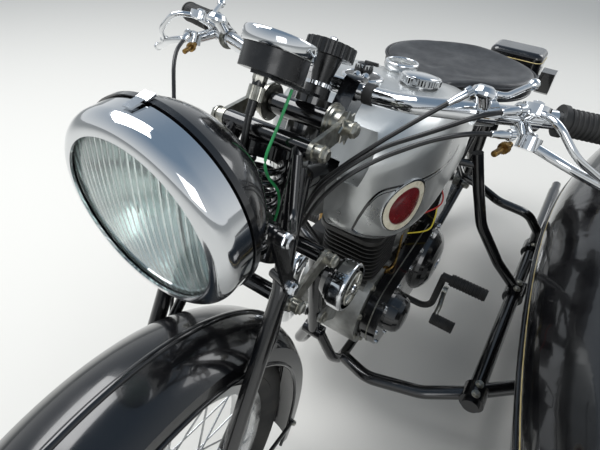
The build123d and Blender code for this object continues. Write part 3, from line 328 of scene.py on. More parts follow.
# %% A mesh becomes a piece of the machine
def piece(name, shape, finish, body, smooth=35, place=None):
    """Make an object from points in millimetres, and let it ride on a body."""
    mesh = bpy.data.meshes.new(name)
    points, faces = placed(shape, place) if place else shape
    mesh.from_pydata([at(*p) for p in points], [], faces)
    mesh.materials.append(finish)
    made = bpy.data.objects.new(name, mesh)
    scene.collection.objects.link(made)
    work = bmesh.new()
    work.from_mesh(mesh)
    bmesh.ops.remove_doubles(work, verts=work.verts, dist=1e-6)
    bmesh.ops.recalc_face_normals(work, faces=work.faces)
    work.to_mesh(mesh)
    work.free()
    for face in mesh.polygons:
        face.use_smooth = True
    mesh.set_sharp_from_angle(angle=radians(smooth))
    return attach(made, body)


def frame_on(origin, direction, sideways=None):
    """The placing whose Z runs along direction from origin."""
    z = Vector(direction).normalized()
    x = Vector(sideways) if sideways else Vector((0, 0, 1)) if abs(z.z) < 0.9 else Vector((1, 0, 0))
    x = (x - z * x.dot(z)).normalized()
    turn = Matrix((x, z.cross(x), z)).transposed().to_4x4()
    return Matrix.Translation(Vector(origin)) @ turn


def quads(rows, size, closed=False):
    """Faces between rows of size points that each close on themselves, and from the last row
    back to the first if closed."""
    return [(r * size + n, r * size + (n + 1) % size, (r + 1) % rows * size + (n + 1) % size,
            (r + 1) % rows * size + n) for r in range(rows if closed else rows - 1) for n in range(size)]


def caps(rows, size):
    """The two end faces of such rows."""
    return [tuple(reversed(range(size))), tuple(range((rows - 1) * size, rows * size))]


def round_section(radius, count=10):
    """Points of a circle."""
    return [(radius * cos(2 * pi * n / count), radius * sin(2 * pi * n / count)) for n in range(count)]


def turned(profile, count=32):
    """Points and faces of a profile of (height, radius) turned round Z, closed at both ends."""
    points = [(x, y, height_z) for height_z, radius in profile for x, y in round_section(radius, count)]
    return points, quads(len(profile), count) + caps(len(profile), count)


def ring_of(profile, count=48):
    """A closed profile of (height, radius) turned round Z into a ring."""
    points = [(radius * x, radius * y, z) for x, y in round_section(1, count) for z, radius in profile]
    return points, quads(count, len(profile), True)


def swept(path_points, section, closed=False):
    """Carry a closed section of (sideways, up) points along a path, keeping up near the world's."""
    path_points = [Vector(p) for p in path_points]
    points = []
    rows, size = len(path_points), len(section)
    last = rows - 1
    for n, here in enumerate(path_points):
        before = path_points[n - 1] if n or closed else here
        after = path_points[(n + 1) % len(path_points)] if n < last or closed else here
        along = (after - before).normalized()
        up = Vector((0, 0, 1)) if abs(along.z) < 0.95 else Vector((1, 0, 0))
        side = along.cross(up).normalized()
        up = side.cross(along)
        points += [tuple(here + side * s + up * u) for s, u in section]
    ends = [] if closed else [tuple(range(size)), tuple(reversed(range(last * size, rows * size)))]
    return points, quads(rows, size, closed) + ends


def joined(*parts):
    """Several (points, faces) as one."""
    points = []
    faces = []
    for more_points, more_faces in parts:
        start = len(points)
        points += [tuple(p) for p in more_points]
        faces += [tuple(start + n for n in face) for face in more_faces]
    return points, faces


def placed(part, place):
    """The same part moved by a placing."""
    return [tuple(place @ Vector(p)) for p in part[0]], part[1]


def prism(low, high):
    """A solid between two outlines of as many points."""
    return list(low) + list(high), quads(2, len(low)) + caps(2, len(low))


def slab(outline, low, high, share=1):
    """A flat outline as a solid between two heights, with its top drawn in to a share."""
    return prism([(p[0], p[1], low) for p in outline], [(p[0] * share, p[1] * share, high) for p in outline])


def arc(middle, radius, start, stop, step):
    """Flat points on a circle between two angles in degrees."""
    return [(middle[0] + radius * cos(radians(a)), middle[1] + radius * sin(radians(a)))
        for a in range(start, stop + 1, step)]


# %% [markdown]
# The fork leans back by 27 degrees, so its pieces are easier to place in its own frame: ahead
# of the steering axis, across, and up along it. The headlamp has a frame too, with its glass
# at zero and its beam along Z.

# %% The fork's frame and the lamp's
RAKE = radians(27)
fork_frame = Matrix(((cos(RAKE), 0, -sin(RAKE), 1443), (0, 1, 0, 0), (sin(RAKE), 0, cos(RAKE), 0),
        (0, 0, 0, 1)))
LAMP_DIP = RAKE + radians(5.6)
lamp_frame = fork_frame @ Matrix(((-sin(LAMP_DIP), 0, cos(LAMP_DIP), 266), (0, 1, 0, 0),
        (-cos(LAMP_DIP), 0, -sin(LAMP_DIP), 866), (0, 0, 0, 1)))
print("lamp centre", [round(v) for v in lamp_frame.translation])

# %% [markdown]
# ## Bolts
#
# Hexagon bolts hold nearly everything here. One Geometry Nodes tree sets a washer and a
# domed hexagon head on every point it is given, turned to that point's direction, so a list
# of places is all that a new set of bolts needs. The chain uses the same ending later, so it
# is a function of its own.

# %% What every tree that sets things on points shares
def tree_on_points(name, inputs):
    """A Geometry Nodes tree with these number inputs and a finish, and what it is given."""
    tree = bpy.data.node_groups.new(name, "GeometryNodeTree")
    for way in ("INPUT", "OUTPUT"):
        tree.interface.new_socket("Geometry", in_out=way, socket_type="NodeSocketGeometry")
    for socket in inputs:
        tree.interface.new_socket(socket, in_out="INPUT", socket_type="NodeSocketFloat")
    tree.interface.new_socket("Finish", in_out="INPUT", socket_type="NodeSocketMaterial")
    return tree, put(tree, "NodeGroupInput").outputs


def times(tree, socket, factor):
    """A number input multiplied."""
    return put(tree, "ShaderNodeMath", {0: socket, 1: factor}, operation="MULTIPLY").outputs[0]


def moved(tree, geometry, rotation=(0, 0, 0), **offset):
    """Geometry shifted by sockets named X, Y or Z, and turned."""
    return put(tree, "GeometryNodeTransform", {"Geometry": geometry, "Rotation": rotation,
            "Translation": put(tree, "ShaderNodeCombineXYZ", offset).outputs[0]}).outputs[0]


def set_on_points(tree, given, forms, axis, **scale):
    """End a tree: the joined forms on each point, one axis along its direction, made real."""
    whole = put(tree, "GeometryNodeJoinGeometry")
    for form in forms:
        tree.links.new(form, whole.inputs[0])
    way = put(tree, "GeometryNodeInputNamedAttribute", {"Name": "way"}, data_type="FLOAT_VECTOR")
    turn = put(tree, "FunctionNodeAlignRotationToVector", {"Vector": way.outputs[0]}, axis=axis)
    inputs = {"Points": given["Geometry"], "Instance": whole.outputs[0], "Rotation": turn.outputs[0]}
    if scale:
        inputs["Scale"] = put(tree, "ShaderNodeCombineXYZ", scale).outputs[0]
    real = put(tree, "GeometryNodeRealizeInstances",
        {0: put(tree, "GeometryNodeInstanceOnPoints", inputs).outputs[0]})
    coloured = put(tree, "GeometryNodeSetMaterial",
        {"Geometry": real.outputs[0], "Material": given["Finish"]})
    put(tree, "NodeGroupOutput", {0: coloured.outputs[0]})
    return tree


def run_tree(name, tree, places, values, finish, body, widths=()):
    """Run a tree on (point, direction) places in millimetres and keep its result as a plain mesh."""
    mesh = bpy.data.meshes.new(name + "_places")
    mesh.from_pydata([at(*p) for p, way in places], [], [])
    mesh.attributes.new("way", "FLOAT_VECTOR", "POINT")
    for n, (p, way) in enumerate(places):
        mesh.attributes["way"].data[n].vector = Vector(way).normalized()
    if widths:
        mesh.attributes.new("width", "FLOAT", "POINT").data.foreach_set("value", widths)
    maker = bpy.data.objects.new(name + "_places", mesh)
    scene.collection.objects.link(maker)
    modifier = maker.modifiers.new("tree", "NODES")
    modifier.node_group = tree
    for socket in tree.interface.items_tree:
        if socket.in_out == "INPUT" and socket.name != "Geometry":
            modifier[socket.identifier] = finish if socket.name == "Finish" else values[socket.name]
    bpy.context.view_layer.update()
    result = bpy.data.meshes.new_from_object(maker.evaluated_get(bpy.context.evaluated_depsgraph_get()))
    bpy.data.objects.remove(maker)
    made = bpy.data.objects.new(name, result)
    scene.collection.objects.link(made)
    print(name, len(places), "places,", len(result.polygons), "faces")
    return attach(made, body)


# %% A tree that bolts things on
bolting, given = tree_on_points("hexagon_bolts", ("Across Corners", "Head Height"))
radius = times(bolting, given["Across Corners"], 0.5)
thin = times(bolting, given["Head Height"], 0.3)
forms = []
for sides, low, high, tall in ((6, radius, radius, given["Head Height"]),
    (18, times(bolting, radius, 0.86), times(bolting, radius, 0.6), thin),
    (24, times(bolting, radius, 1.15), times(bolting, radius, 1.15), thin)):
    forms.append(put(bolting, "GeometryNodeMeshCone",
            {"Vertices": sides, "Radius Bottom": low, "Radius Top": high, "Depth": tall}).outputs[0])
forms[1] = moved(bolting, forms[1], Z=given["Head Height"])
set_on_points(bolting, given, forms, "Z")


def bolts(name, places, corners, head_height, finish, body, place=None):
    """Bolt heads at (point, direction) places in millimetres, as one piece on a body."""
    turn = place or Matrix.Identity(4)
    turned_places = [(turn @ Vector(p), turn.to_3x3() @ Vector(way)) for p, way in places]
    return run_tree(name, bolting, turned_places,
        {"Across Corners": corners / 1000, "Head Height": head_height / 1000}, finish, body)


# %% [markdown]
# ## Headlamp
#
# The glass is a shallow dome with about twenty upright flutes pressed into its inside, which
# spread the beam sideways. A flute is a shallow trough, so the inner face is a dome with a
# row of half waves across the lamp, and the outer face stays smooth.

# %% Fluted lamp glass
GLASS_RADIUS = 95
OUTER_DOME = (-1.5, 8)
INNER_DOME = (-5.5, 3)
FLUTE_PITCH = 8.6
FLUTE_DEPTH = 2.6
COLUMNS = 200
ROWS = 24


def dome_height(x, y, edge, top):
    """Height over the lamp's plane of a dome from edge to top."""
    return top - (top - edge) * (x * x + y * y) / GLASS_RADIUS ** 2


points = []
faces = []
for inner in (False, True):
    for column in range(COLUMNS + 1):
        y = -GLASS_RADIUS * cos(pi * column / COLUMNS)
        half = sqrt(max(GLASS_RADIUS ** 2 - y * y, 0))
        for row in range(ROWS + 1):
            x = half * (2 * row / ROWS - 1)
            height_z = dome_height(x, y, *OUTER_DOME)
            if inner:
                height_z = dome_height(x, y, *INNER_DOME) - FLUTE_DEPTH * abs(sin(pi * y / FLUTE_PITCH))
            points.append((x, y, height_z))
layer = (COLUMNS + 1) * (ROWS + 1)
for column in range(COLUMNS):
    for row in range(ROWS):
        a = column * (ROWS + 1) + row
        quad = (a, a + 1, a + ROWS + 2, a + ROWS + 1)
        faces.append(quad)
        faces.append(tuple(n + layer for n in reversed(quad)))
    for edge in (0, ROWS):
        a = column * (ROWS + 1) + edge
        faces.append((a, a + ROWS + 1, a + ROWS + 1 + layer, a + layer))
fluted = piece("fluted_glass", (points, faces), lamp_glass, "fork", 50, lamp_frame)
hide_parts("headlamp_lens")

# %% [markdown]
# Behind the glass sits a silvered bowl with the bulb at its focus. It is seen through the
# flutes as bright and dark upright bands. Two small clips hold the rim to the shell.

# %% Reflector, bulb and rim clips
bowl = [(-11 - 68 * (1 - (r / 94) ** 2), r) for r in (94, 84, 72, 60, 48, 36, 24, 14)]
shell_of_bowl = bowl + [(z - 1.5, r) for z, r in reversed(bowl)]
piece("lamp_reflector", ring_of(shell_of_bowl, 72), silvering, "fork", 60, lamp_frame)
cap = turned([(-82, 15), (-66, 15), (-64, 11), (-52, 10), (-50, 8)], 24)
globe = turned([(-50, 7), (-46, 11), (-38, 13.5), (-30, 12), (-25, 7), (-24, 2)], 24)
piece("lamp_bulb", joined(cap, globe), lamp_glass, "fork", 40, lamp_frame)
parts = []
for way in (-1, 1):
    for start, end, near, far, half in ((-45, -34, 116, 115, 7), (-34, -18, 115, 114.2, 5.5)):
        ends = []
        for reach, thick, z in ((near, 2.4, start), (far, 1.6, end)):
            across = ((reach, -half), (reach, half), (reach + thick, half), (reach + thick, -half))
            ends.append([(way * x, y, z) for x, y in across])
        parts.append(prism(*ends))
piece("rim_clips", joined(*parts), polished_chrome, "fork", 30, lamp_frame)

# %% [markdown]
# ## Tyres
#
# The CAD tyres are smooth rings. A real one of this kind has a round crown with a raised
# centre rib, a row of blocks on each side of it and smaller shoulder blocks, all cut 5.5 mm
# deep, and fine rings on its wall. The profile is turned with many steps, and the depth
# of the gaps depends on where a point is round the tyre and across it.

# %% Tread cut into a turned profile
TREAD_DEPTH = 5.5
BLOCKS = 66
GAP_SHARE = 0.17


def tread_gap(turn_share, row_shift):
    """Depth of the gap between two blocks at a place within one block's pitch."""
    place = (turn_share + row_shift) % 1
    return TREAD_DEPTH if place < GAP_SHARE or place > 1 - GAP_SHARE else 0.0


wall = [(241.2, 27), (254.2, 27.2), (262, 35), (272, 40.5), (276, 42.2), (277, 41.4), (280, 42.2),
    (283, 43.4), (290, 43.9), (298, 43.2), (304, 41.2)]
WALL, SHOULDER, BLOCK, GROOVE = range(4)
crown = [(307, 39.5, WALL), (313, 36, SHOULDER), (317.5, 31.5, SHOULDER), (318.5, 30.2, GROOVE),
    (319.2, 28.4, GROOVE), (320.6, 27.2, BLOCK), (324.6, 19.5, BLOCK), (326.6, 11.2, BLOCK),
    (327, 10, GROOVE), (327.2, 7.6, GROOVE), (327.6, 6.6, WALL), (328, 2.2, WALL)]
steps = [0.0, 0.14, 0.2, 0.5, 0.8, 0.86]
angles = [(block + step) / BLOCKS * 2 * pi for block in range(BLOCKS) for step in steps]


def tyre_piece(name, node, body, x, y):
    """A treaded tyre round an axle at x, y, in place of its CAD ring."""
    half = [(r, w, WALL) for r, w in wall] + crown
    section = half + [(r, -w, kind) for r, w, kind in reversed(half)]
    points = []
    for number, angle in enumerate(angles):
        share = steps[number % len(steps)]
        for r, w, kind in section:
            depth = TREAD_DEPTH if kind == GROOVE else 0.0
            if kind in (SHOULDER, BLOCK):
                shift = (0.0 if kind == BLOCK else 0.5) + (0.5 if w < 0 else 0.0)
                depth = tread_gap(share, shift)
            points.append((x + (r - depth) * cos(angle), y + w, AXLE_HEIGHT + (r - depth) * sin(angle)))
    faces = quads(len(angles), len(section), True)
    made = piece(name, (points, faces), tyre_rubber, body, 28)
    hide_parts(node)
    print(name, len(faces), "faces")
    return made


tyre_piece("front_treaded_tyre", "front_tyre", "front_wheel", FRONT_AXLE_X, 0)
tyre_piece("rear_treaded_tyre", "rear_tyre", "rear_wheel", 0, 0)
tyre_piece("sidecar_treaded_tyre", "sidecar_tyre", "sidecar_wheel", 200, 1150)

# %% [markdown]
# ## Wires, knurled edges and pairs
#
# Wires and pipings are round tubes along a smooth curve through a few measured points. The
# curve passes through every point, so a wire can be pinned where the photograph shows it.
# Much of the machine is the same on both sides, so mirrored places have their own functions.

# %% Smooth runs, wires, fine teeth and mirrored places
def smooth_run(given, steps=6, closed=False):
    """More points on a smooth curve through the given ones."""
    given = [Vector(p) for p in given]
    count = len(given)
    result = []
    for n in range(count if closed else count - 1):
        if closed:
            a, b, c, d = (given[(n + k) % count] for k in (-1, 0, 1, 2))
        else:
            a, b, c, d = (given[min(max(n + k, 0), count - 1)] for k in (-1, 0, 1, 2))
        for step in range(steps):
            t = step / steps
            result.append(0.5 * (2 * b + (c - a) * t + (2 * a - 5 * b + 4 * c - d) * t * t
                    + (3 * b - a - 3 * c + d) * t ** 3))
    if not closed:
        result.append(given[-1])
    return result


def wire(name, given, radius, finish, body, place=None, closed=False, count=10):
    """A round wire, tube or piping through the given points, as a piece."""
    return piece(name, swept(smooth_run(given, 6, closed), round_section(radius, count), closed), finish,
        body, 50, place)


def knurled(profile, teeth=24, depth=0.6):
    """A turned form of (height, radius) whose wall is cut with fine teeth."""
    points, faces = turned(profile, teeth * 2)
    rows = len(profile)
    cut = []
    for n, (x, y, z) in enumerate(points):
        row = n // (teeth * 2)
        deep = depth if n % 2 and 0 < row < rows - 1 else 0
        radius = sqrt(x * x + y * y)
        share = (radius - deep) / radius if radius else 1
        cut.append((x * share, y * share, z))
    return cut, faces


def both_sides(*given):
    """Points for the left, with their mirror images on the right."""
    return [[(x, side * y, z) for x, y, z in given] for side in (1, -1)]


def outward(*given):
    """Bolt places on both sides for each point given for the left, facing away from the middle."""
    return [((x, side * y, z), (0, side, 0)) for x, y, z in given for side in (-1, 1)]


# %% [markdown]
# ## Fork
#
# Hexagon bolts close the ends of the four link spindles, the lamp's pivots and straps and the
# wheel spindle. They face outwards on both sides, chromed at the lamp and zinc-plated
# elsewhere. The friction damper on the upper link has a star-shaped spring plate.

# %% Bolts of the fork
GUARD_RADIUS = 322
link_ends = outward((91, 81, 975), (26, 81, 1012), (38, 99, 760), (-31, 99, 821))
bolts("link_bolts", link_ends, 20, 7, zinc_plate, "fork", fork_frame)
lamp_ends = outward((190, 119, 890), (112, 110.2, 812))
bolts("lamp_bolts", lamp_ends, 17, 6, polished_chrome, "fork", fork_frame)
bolts("spindle_nuts", outward((85.6, 112, 324.5)), 32, 9, zinc_plate, "fork", fork_frame)
stays = [arc((FRONT_AXLE_X, AXLE_HEIGHT), GUARD_RADIUS, angle, angle, 1)[0] for angle in (28, 196)]
bolts("guard_bolts", outward(*[(x, 79, z) for x, z in stays]), 11, 4, zinc_plate, "fork")

# %% Friction damper's plates on the upper rear spindle
parts = []
for side in (-1, 1):
    place = frame_on((26, side * 48, 1012), (0, side, 0), (1, 0, 0))
    parts.append(placed(ring_of([(0.6, 25.6), (3.4, 25.6), (3.4, 27.4), (0.6, 27.4)], 40), place))
    star = [(x * reach, y * reach) for (x, y), reach in zip(round_section(1, 16), (17, 24) * 8)]
    parts.append(placed(slab(star, 24.6, 26.4, 0.94), place))
piece("damper_plates", joined(*parts), zinc_plate, "fork", 30, fork_frame)

# %% [markdown]
# ## Steering head and bars
#
# The bars are held by two split lugs, each closed by two chromed bolts. The big scalloped knob
# tightens a friction damper by a threaded rod, and a thin rubber sleeve keeps the bars from
# turning in their lugs.

# %% Bar clamp bolts and the damper's boss
clamps = [((-51, side * y, 1085), (-0.34, 0, 0.94)) for side in (-1, 1) for y in (27, 41)]
bolts("clamp_bolts", clamps, 11, 6, polished_chrome, "fork", fork_frame)
boss = turned([(1112, 17), (1113.5, 17), (1115, 15), (1115.6, 8)], 32)
nut = turned([(1115.6, 6), (1119, 6), (1120.5, 4)], 6)
knurl = knurled([(1052.4, 15), (1053, 20), (1058, 20), (1058.6, 15)], 30, 0.7)
piece("damper_boss", joined(boss, nut, knurl), polished_chrome, "fork", 30, fork_frame)
parts = []
for side in (-1, 1):
    place = frame_on((-44, side * 52, 1066), (0, side, 0))
    parts.append(placed(ring_of([(0, 12.9), (15, 12.9), (16, 14), (15, 15.2), (1, 15.2)], 32), place))
piece("bar_sleeves", joined(*parts), grip_rubber, "fork", 40, fork_frame)

# %% [markdown]
# The levers and cables need their small brass and plated fittings: a domed hexagon screw on
# each pivot, a knurled adjuster under each lever, and a ferrule pressed on the end of every
# cable.

# %% Lever screws, adjusters and ferrules
pivots = ((-32, 272, 1110), (-38, 280, 1074))
screws = [((x, side * y, z), (0, 0, 1)) for side in (-1, 1) for x, y, z in pivots]
bolts("lever_screws", screws, 15, 4, polished_chrome, "fork", fork_frame)
cable_starts = [((16, 194, 1091), (30, 169, 1061)), ((0, 253, 1093), (35, 224, 1074)),
    ((6, 254, 1064), (40, 222, 1052)), ((6, -254, 1064), (56, -222, 1030))]
ferrule = turned([(0, 4), (0.6, 5.2), (14, 5.2), (16, 4.4), (24, 4.0), (25, 3.2)], 20)
collar = knurled([(-7, 4), (-6.4, 7), (0, 7), (0.6, 4)], 18, 0.5)
parts = []
for start, towards in cable_starts:
    way = (Vector(towards) - Vector(start)).normalized()
    place = frame_on(Vector(start) - way * 6, way)
    parts += [placed(ferrule, place), placed(collar, place)]
piece("cable_ferrules", joined(*parts), polished_chrome, "fork", 35, fork_frame)
parts = []
for near, far in both_sides((-26, 262, 1058), (4, 252, 1040)):
    way = Vector(far) - Vector(near)
    barrel = turned([(0, 3), (0.3, 4), (way.length, 4), (way.length + 0.5, 3)], 16)
    knurl = knurled([(10, 4), (10.4, 7.5), (17, 7.5), (17.4, 4)], 18, 0.6)
    parts.append(placed(joined(barrel, knurl), frame_on(near, way)))
piece("cable_adjusters", joined(*parts), old_brass, "fork", 35, fork_frame)

# %% [markdown]
# The grips are moulded with fine rings, so that a wet glove holds.

# %% Rings of the grips
GRIP_RINGS = 17
grip_ring = ring_of([(0, 16.4), (0.4, 17.9), (1.4, 18.5), (2.6, 18.5), (3.6, 17.9), (4, 16.4)], 28)
parts = []
for inner, outer in both_sides((-96, 293, 1108), (-147, 403, 1122)):
    way = (Vector(outer) - Vector(inner)).normalized()
    for n in range(GRIP_RINGS):
        place = frame_on(Vector(inner) + way * (17 + 6.4 * n), way)
        parts.append(placed(grip_ring, place))
piece("grip_rings", joined(*parts), grip_rubber, "fork", 40, fork_frame)

# %% [markdown]
# ## Speedometer
#
# The clock is a black can with a chromed bezel rolled over its edge and a shallow domed glass.
# Its dial is left without lettering: a ring of white strokes, long at every fifth, and a
# needle at rest. A knurled ring holds the drive cable, which runs down beside the fork.

# %% Bezel, dial, strokes, needle and glass
speedo_frame = fork_frame @ Matrix.Translation((122.6, 0, 1041))


def gauge(name, place, radius, dial_z, glass_z, strokes, needle_turn, body):
    """An instrument without lettering: dial, strokes, needle and domed glass."""
    piece(name + "_dial", turned([(dial_z - 0.8, radius), (dial_z, radius)], 48), dial_black, body, 30, place)
    marks = []
    for n in range(strokes):
        angle = radians(225 - 270 * n / (strokes - 1))
        long, wide = (0.16, 0.018) if n % 5 == 0 else (0.09, 0.011)
        out = Vector((cos(angle), sin(angle)))
        side = Vector((-out.y, out.x))
        ends = ((0.92, wide), (0.92, -wide), (0.92 - long, -wide), (0.92 - long, wide))
        marks.append(slab([(out * r + side * w) * radius for r, w in ends], dial_z, dial_z + 0.25))
    out = Vector((cos(needle_turn), sin(needle_turn))) * radius
    side = Vector((-out.y, out.x)) * 0.027
    marks.append(slab([out * 0.8, side - out * 0.2, -side - out * 0.2], dial_z + 1, dial_z + 1.5))
    boss = [(dial_z, radius * 0.09), (dial_z + 2.2, radius * 0.09), (dial_z + 2.6, radius * 0.06)]
    marks.append(turned(boss, 20))
    piece(name + "_strokes", joined(*marks), dial_white, body, 30, place)
    crown = [(glass_z + 0.05 * radius * (1 - share ** 2), radius * share)
        for share in (1.0, 0.8, 0.55, 0.3, 0.06)]
    piece(name + "_glass", turned([(glass_z - 1.2, radius)] + crown, 48), acrylic, body, 50, place)


gauge("speedometer", speedo_frame, 38.5, 40.9, 43.4, 31, radians(215), "fork")
bezel = [(27, 42.8), (28.5, 44.6), (41.5, 44.9), (44.2, 43.8), (44.9, 41.4), (43.6, 38.8), (41, 38.4),
    (40.2, 41), (29, 41.8)]
piece("speedometer_bezel", ring_of(bezel, 72), polished_chrome, "fork", 60, speedo_frame)
stud = Matrix.Translation((-10, -20, 0))
knurl = knurled([(-34, 6), (-33, 10.5), (-16, 10.5), (-15, 6)], 22, 0.7)
hexagon = turned([(-12, 8.4), (-8, 9.4), (-4, 9.4), (-0.2, 9.4)], 6)
piece("drive_ring", placed(joined(knurl, hexagon), stud), zinc_plate, "fork", 30, speedo_frame)
wire("speedometer_drive", [(112.6, -20, 990), (112.4, -19, 975), (111, -18, 958), (104, -22, 930),
        (84, -40, 898), (60, -52, 862), (44, -40, 836)], 4.6, cable_vinyl, "fork", fork_frame)
bolts("bracket_bolts", [((72, 8, 1041), (0, 0, 1)), ((54, -8, 1041), (0, 0, 1))], 13, 5, zinc_plate, "fork",
    fork_frame)

# %% [markdown]
# A green wire comes from the clock's lamp and drops between the links to the loom, which runs
# down the head to the headlamp's shell.

# %% Wires at the steering head
wire("clock_wire", [(117, 30, 1034), (118, 29, 1012), (119.7, 28, 986), (121, 26, 950), (112, 30, 929),
        (88, 37, 912), (71, 36, 893), (56, 30, 868), (40, 20, 842)], 1.9, green_vinyl, "fork", fork_frame)
wire("lamp_loom", [(36, 16, 850), (60, 24, 866), (92, 34, 876), (124, 34, 874), (148, 30, 868)], 5,
    cable_vinyl, "fork", fork_frame)

# %% [markdown]
# ## Tank
#
# Two black coach lines follow the tank's outline on each side, and a plain roundel sits on its
# cheek. They are found by looking through the photograph's camera: a line through a pixel
# meets the tank at one place, and the drawn line then lies on the real surface.

# %% From the photograph's pixels to a surface
FOCAL_PIXELS = 444.2
CENTRE_PIXEL = (300, 225)
LOOK_STEPS = [0.5 + 0.01 * n for n in range(140)]


def seen_at(node, u, v):
    """Where the photograph's line of sight through a pixel meets a CAD node, in millimetres."""
    view = camera.matrix_world
    way = view.to_3x3() @ Vector(((u - CENTRE_PIXEL[0]) / FOCAL_PIXELS, (CENTRE_PIXEL[1] - v) / FOCAL_PIXELS,
            -1))
    way.normalize()
    target = frame["nodes"][node]
    hit, place, normal, index = target.ray_cast(view.translation, way)
    if not hit:
        line = [view.translation + way * step for step in LOOK_STEPS]
        near = [target.closest_point_on_mesh(p) for p in line]
        best = min(range(len(line)), key=lambda n: (near[n][1] - line[n]).length)
        place, normal = near[best][1], near[best][2]
    return to_mm(place), normal.copy()


def to_mm(place):
    """Metres in the frame back to the machine's millimetres."""
    return Vector(((place.x - REAR_AXLE_X) * 1000, (place.y - CENTRE_PLANE_Y) * 1000, place.z * 1000))


def on_skin(node, point):
    """The nearest place on a CAD node's surface to a point in millimetres, and its normal."""
    found, place, normal, index = frame["nodes"][node].closest_point_on_mesh(at(*point))
    return to_mm(place), normal.copy()


def ribbon(node, given, width, rise):
    """A thin painted strip through the given points, laid on a node's surface."""
    points = []
    faces = []
    spine = [on_skin(node, p) for p in given]
    for n, (here, normal) in enumerate(spine):
        before = spine[max(n - 1, 0)][0]
        after = spine[min(n + 1, len(spine) - 1)][0]
        across = (after - before).cross(normal).normalized() * width / 2
        for side in (-1, 1):
            edge, edge_normal = on_skin(node, here + across * side)
            points += [edge + edge_normal * rise, edge - edge_normal * 0.3]
    for n in range(len(spine) - 1):
        a = 4 * n
        faces += [(a, a + 2, a + 6, a + 4), (a + 1, a + 5, a + 7, a + 3), (a, a + 4, a + 5, a + 1),
            (a + 2, a + 3, a + 7, a + 6)]
    last = 4 * (len(spine) - 1)
    faces += [(0, 1, 3, 2), (last, last + 2, last + 3, last + 1)]
    return [tuple(p) for p in points], faces


# %% Coach lines on both cheeks
upper_pixels = [(352, 229), (356, 222), (360, 215), (370, 201), (382, 191), (400, 186), (420, 180),
    (434, 173), (445, 165), (453, 156), (459, 145)]
lower_pixels = [(352, 229), (360, 234), (380, 236.5), (400, 233.5), (420, 222)]
lines = []
for pixels in (upper_pixels, lower_pixels):
    seen = [seen_at("fuel_tank", u, v)[0] for u, v in pixels]
    for side in (1, -1):
        run = smooth_run([(p.x, side * p.y, p.z) for p in seen], 5)
        lines.append(ribbon("fuel_tank", run, 4.2, 0.25))
        inner = [p + Vector((0, 0, -7)) for p in run]
        lines.append(ribbon("fuel_tank", inner, 1.6, 0.25))
piece("coach_lines", joined(*lines), black_enamel, "frame", 60)
print("coach lines in", len(lines), "strips")

# %% [markdown]
# The roundel is a shallow domed badge: a dark red centre inside a pale enamelled ring with a
# thin bright edge. It carries nothing else.

# %% Roundels
def roundel(rings, middle, normal, solid=False):
    """Rings of (radius, rise) on the tank's cheek round a middle point, solid or as a hoop."""
    place = frame_on(middle, normal, (1, 0, 0))
    points = []
    count = 56
    for radius, rise in rings:
        for x, y in round_section(radius, count):
            skin, skin_normal = on_skin("fuel_tank", place @ Vector((x, y, 0)))
            points.append(tuple(skin + skin_normal * rise))
    faces = quads(len(rings), count, not solid)
    return points, faces + caps(len(rings), count) if solid else faces


ROUNDEL_PIXEL = (405, 206)
ROUNDEL_EDGE_PIXELS = ((386.5, 213), (425.5, 197))
badge_middle, badge_normal = seen_at("fuel_tank", *ROUNDEL_PIXEL)
near_edge, far_edge = [seen_at("fuel_tank", *pixel)[0] for pixel in ROUNDEL_EDGE_PIXELS]
badge_radius = (far_edge - near_edge).length / 2
print("roundel radius", round(badge_radius, 1))
badges = (("roundel_centres", roundel_red, True,
        ((0.68, -0.4), (0.68, 1.2), (0.66, 1.5), (0.35, 1.8), (0.08, 1.9))),
    ("roundel_rings", roundel_cream, False, ((0.7, -0.4), (0.7, 1.9), (0.92, 1.9), (0.92, -0.4))),
    ("roundel_edges", polished_chrome, False,
        ((0.925, -0.4), (0.925, 2.3), (0.97, 2.6), (1, 2.0), (1, -0.4))))
for name, finish, solid, rings in badges:
    sized = [(badge_radius * share, rise) for share, rise in rings]
    both = []
    for side in (1, -1):
        middle, normal = [(v.x, side * v.y, v.z) for v in (badge_middle, badge_normal)]
        both.append(roundel(sized, middle, normal, solid))
    piece(name, joined(*both), finish, "frame", 50)

# %% [markdown]
# On top of the tank are the chromed filler cap, with a knurled edge to grip, a switch with a
# black turning knob, and a small ammeter with a bezel and glass of its own.

# %% Filler cap, switch and ammeter
cap_frame = frame_on((720, 66, 893), (-2, 0, 13), (1, 0, 0))
grip_edge = knurled([(1, 33), (1.6, 37), (11, 37), (12, 34)], 44, 1.0)
cap_top = turned([(12.6, 31), (13.6, 30), (16, 24), (17.2, 14), (17.6, 4)], 40)
piece("filler_cap_edge", joined(grip_edge, cap_top), polished_chrome, "frame", 35, cap_frame)
switch_frame = frame_on((823, 0, 916), (-5, 0, 56), (1, 0, 0))
rolled = [(-8, 33.4), (-6.6, 35.6), (-1, 36), (1.4, 34.6), (2.6, 31), (1.4, 29.6), (-0.5, 29.8)]
piece("switch_ring", ring_of(rolled, 56), polished_chrome, "frame", 60, switch_frame)
plate = turned([(0.4, 29), (1.2, 28.6), (1.6, 26)], 48)
knob = knurled([(6, 14.6), (7, 15.6), (18, 14.6), (20.6, 12), (21.6, 6)], 16, 1.2)
pointer = prism([(-3, 0, 20), (3, 0, 20), (3, 24, 20), (-3, 24, 20)],
    [(-2.2, 0, 25), (2.2, 0, 25), (2.2, 23, 25), (-2.2, 23, 25)])
piece("switch_knob", joined(plate, knob, pointer), hard_plastic, "frame", 40, switch_frame)
ammeter_frame = frame_on((649, 0, 896), (-3, 0, 46), (1, 0, 0))
gauge("ammeter", ammeter_frame, 27, 0.8, 2.6, 11, radians(90), "frame")
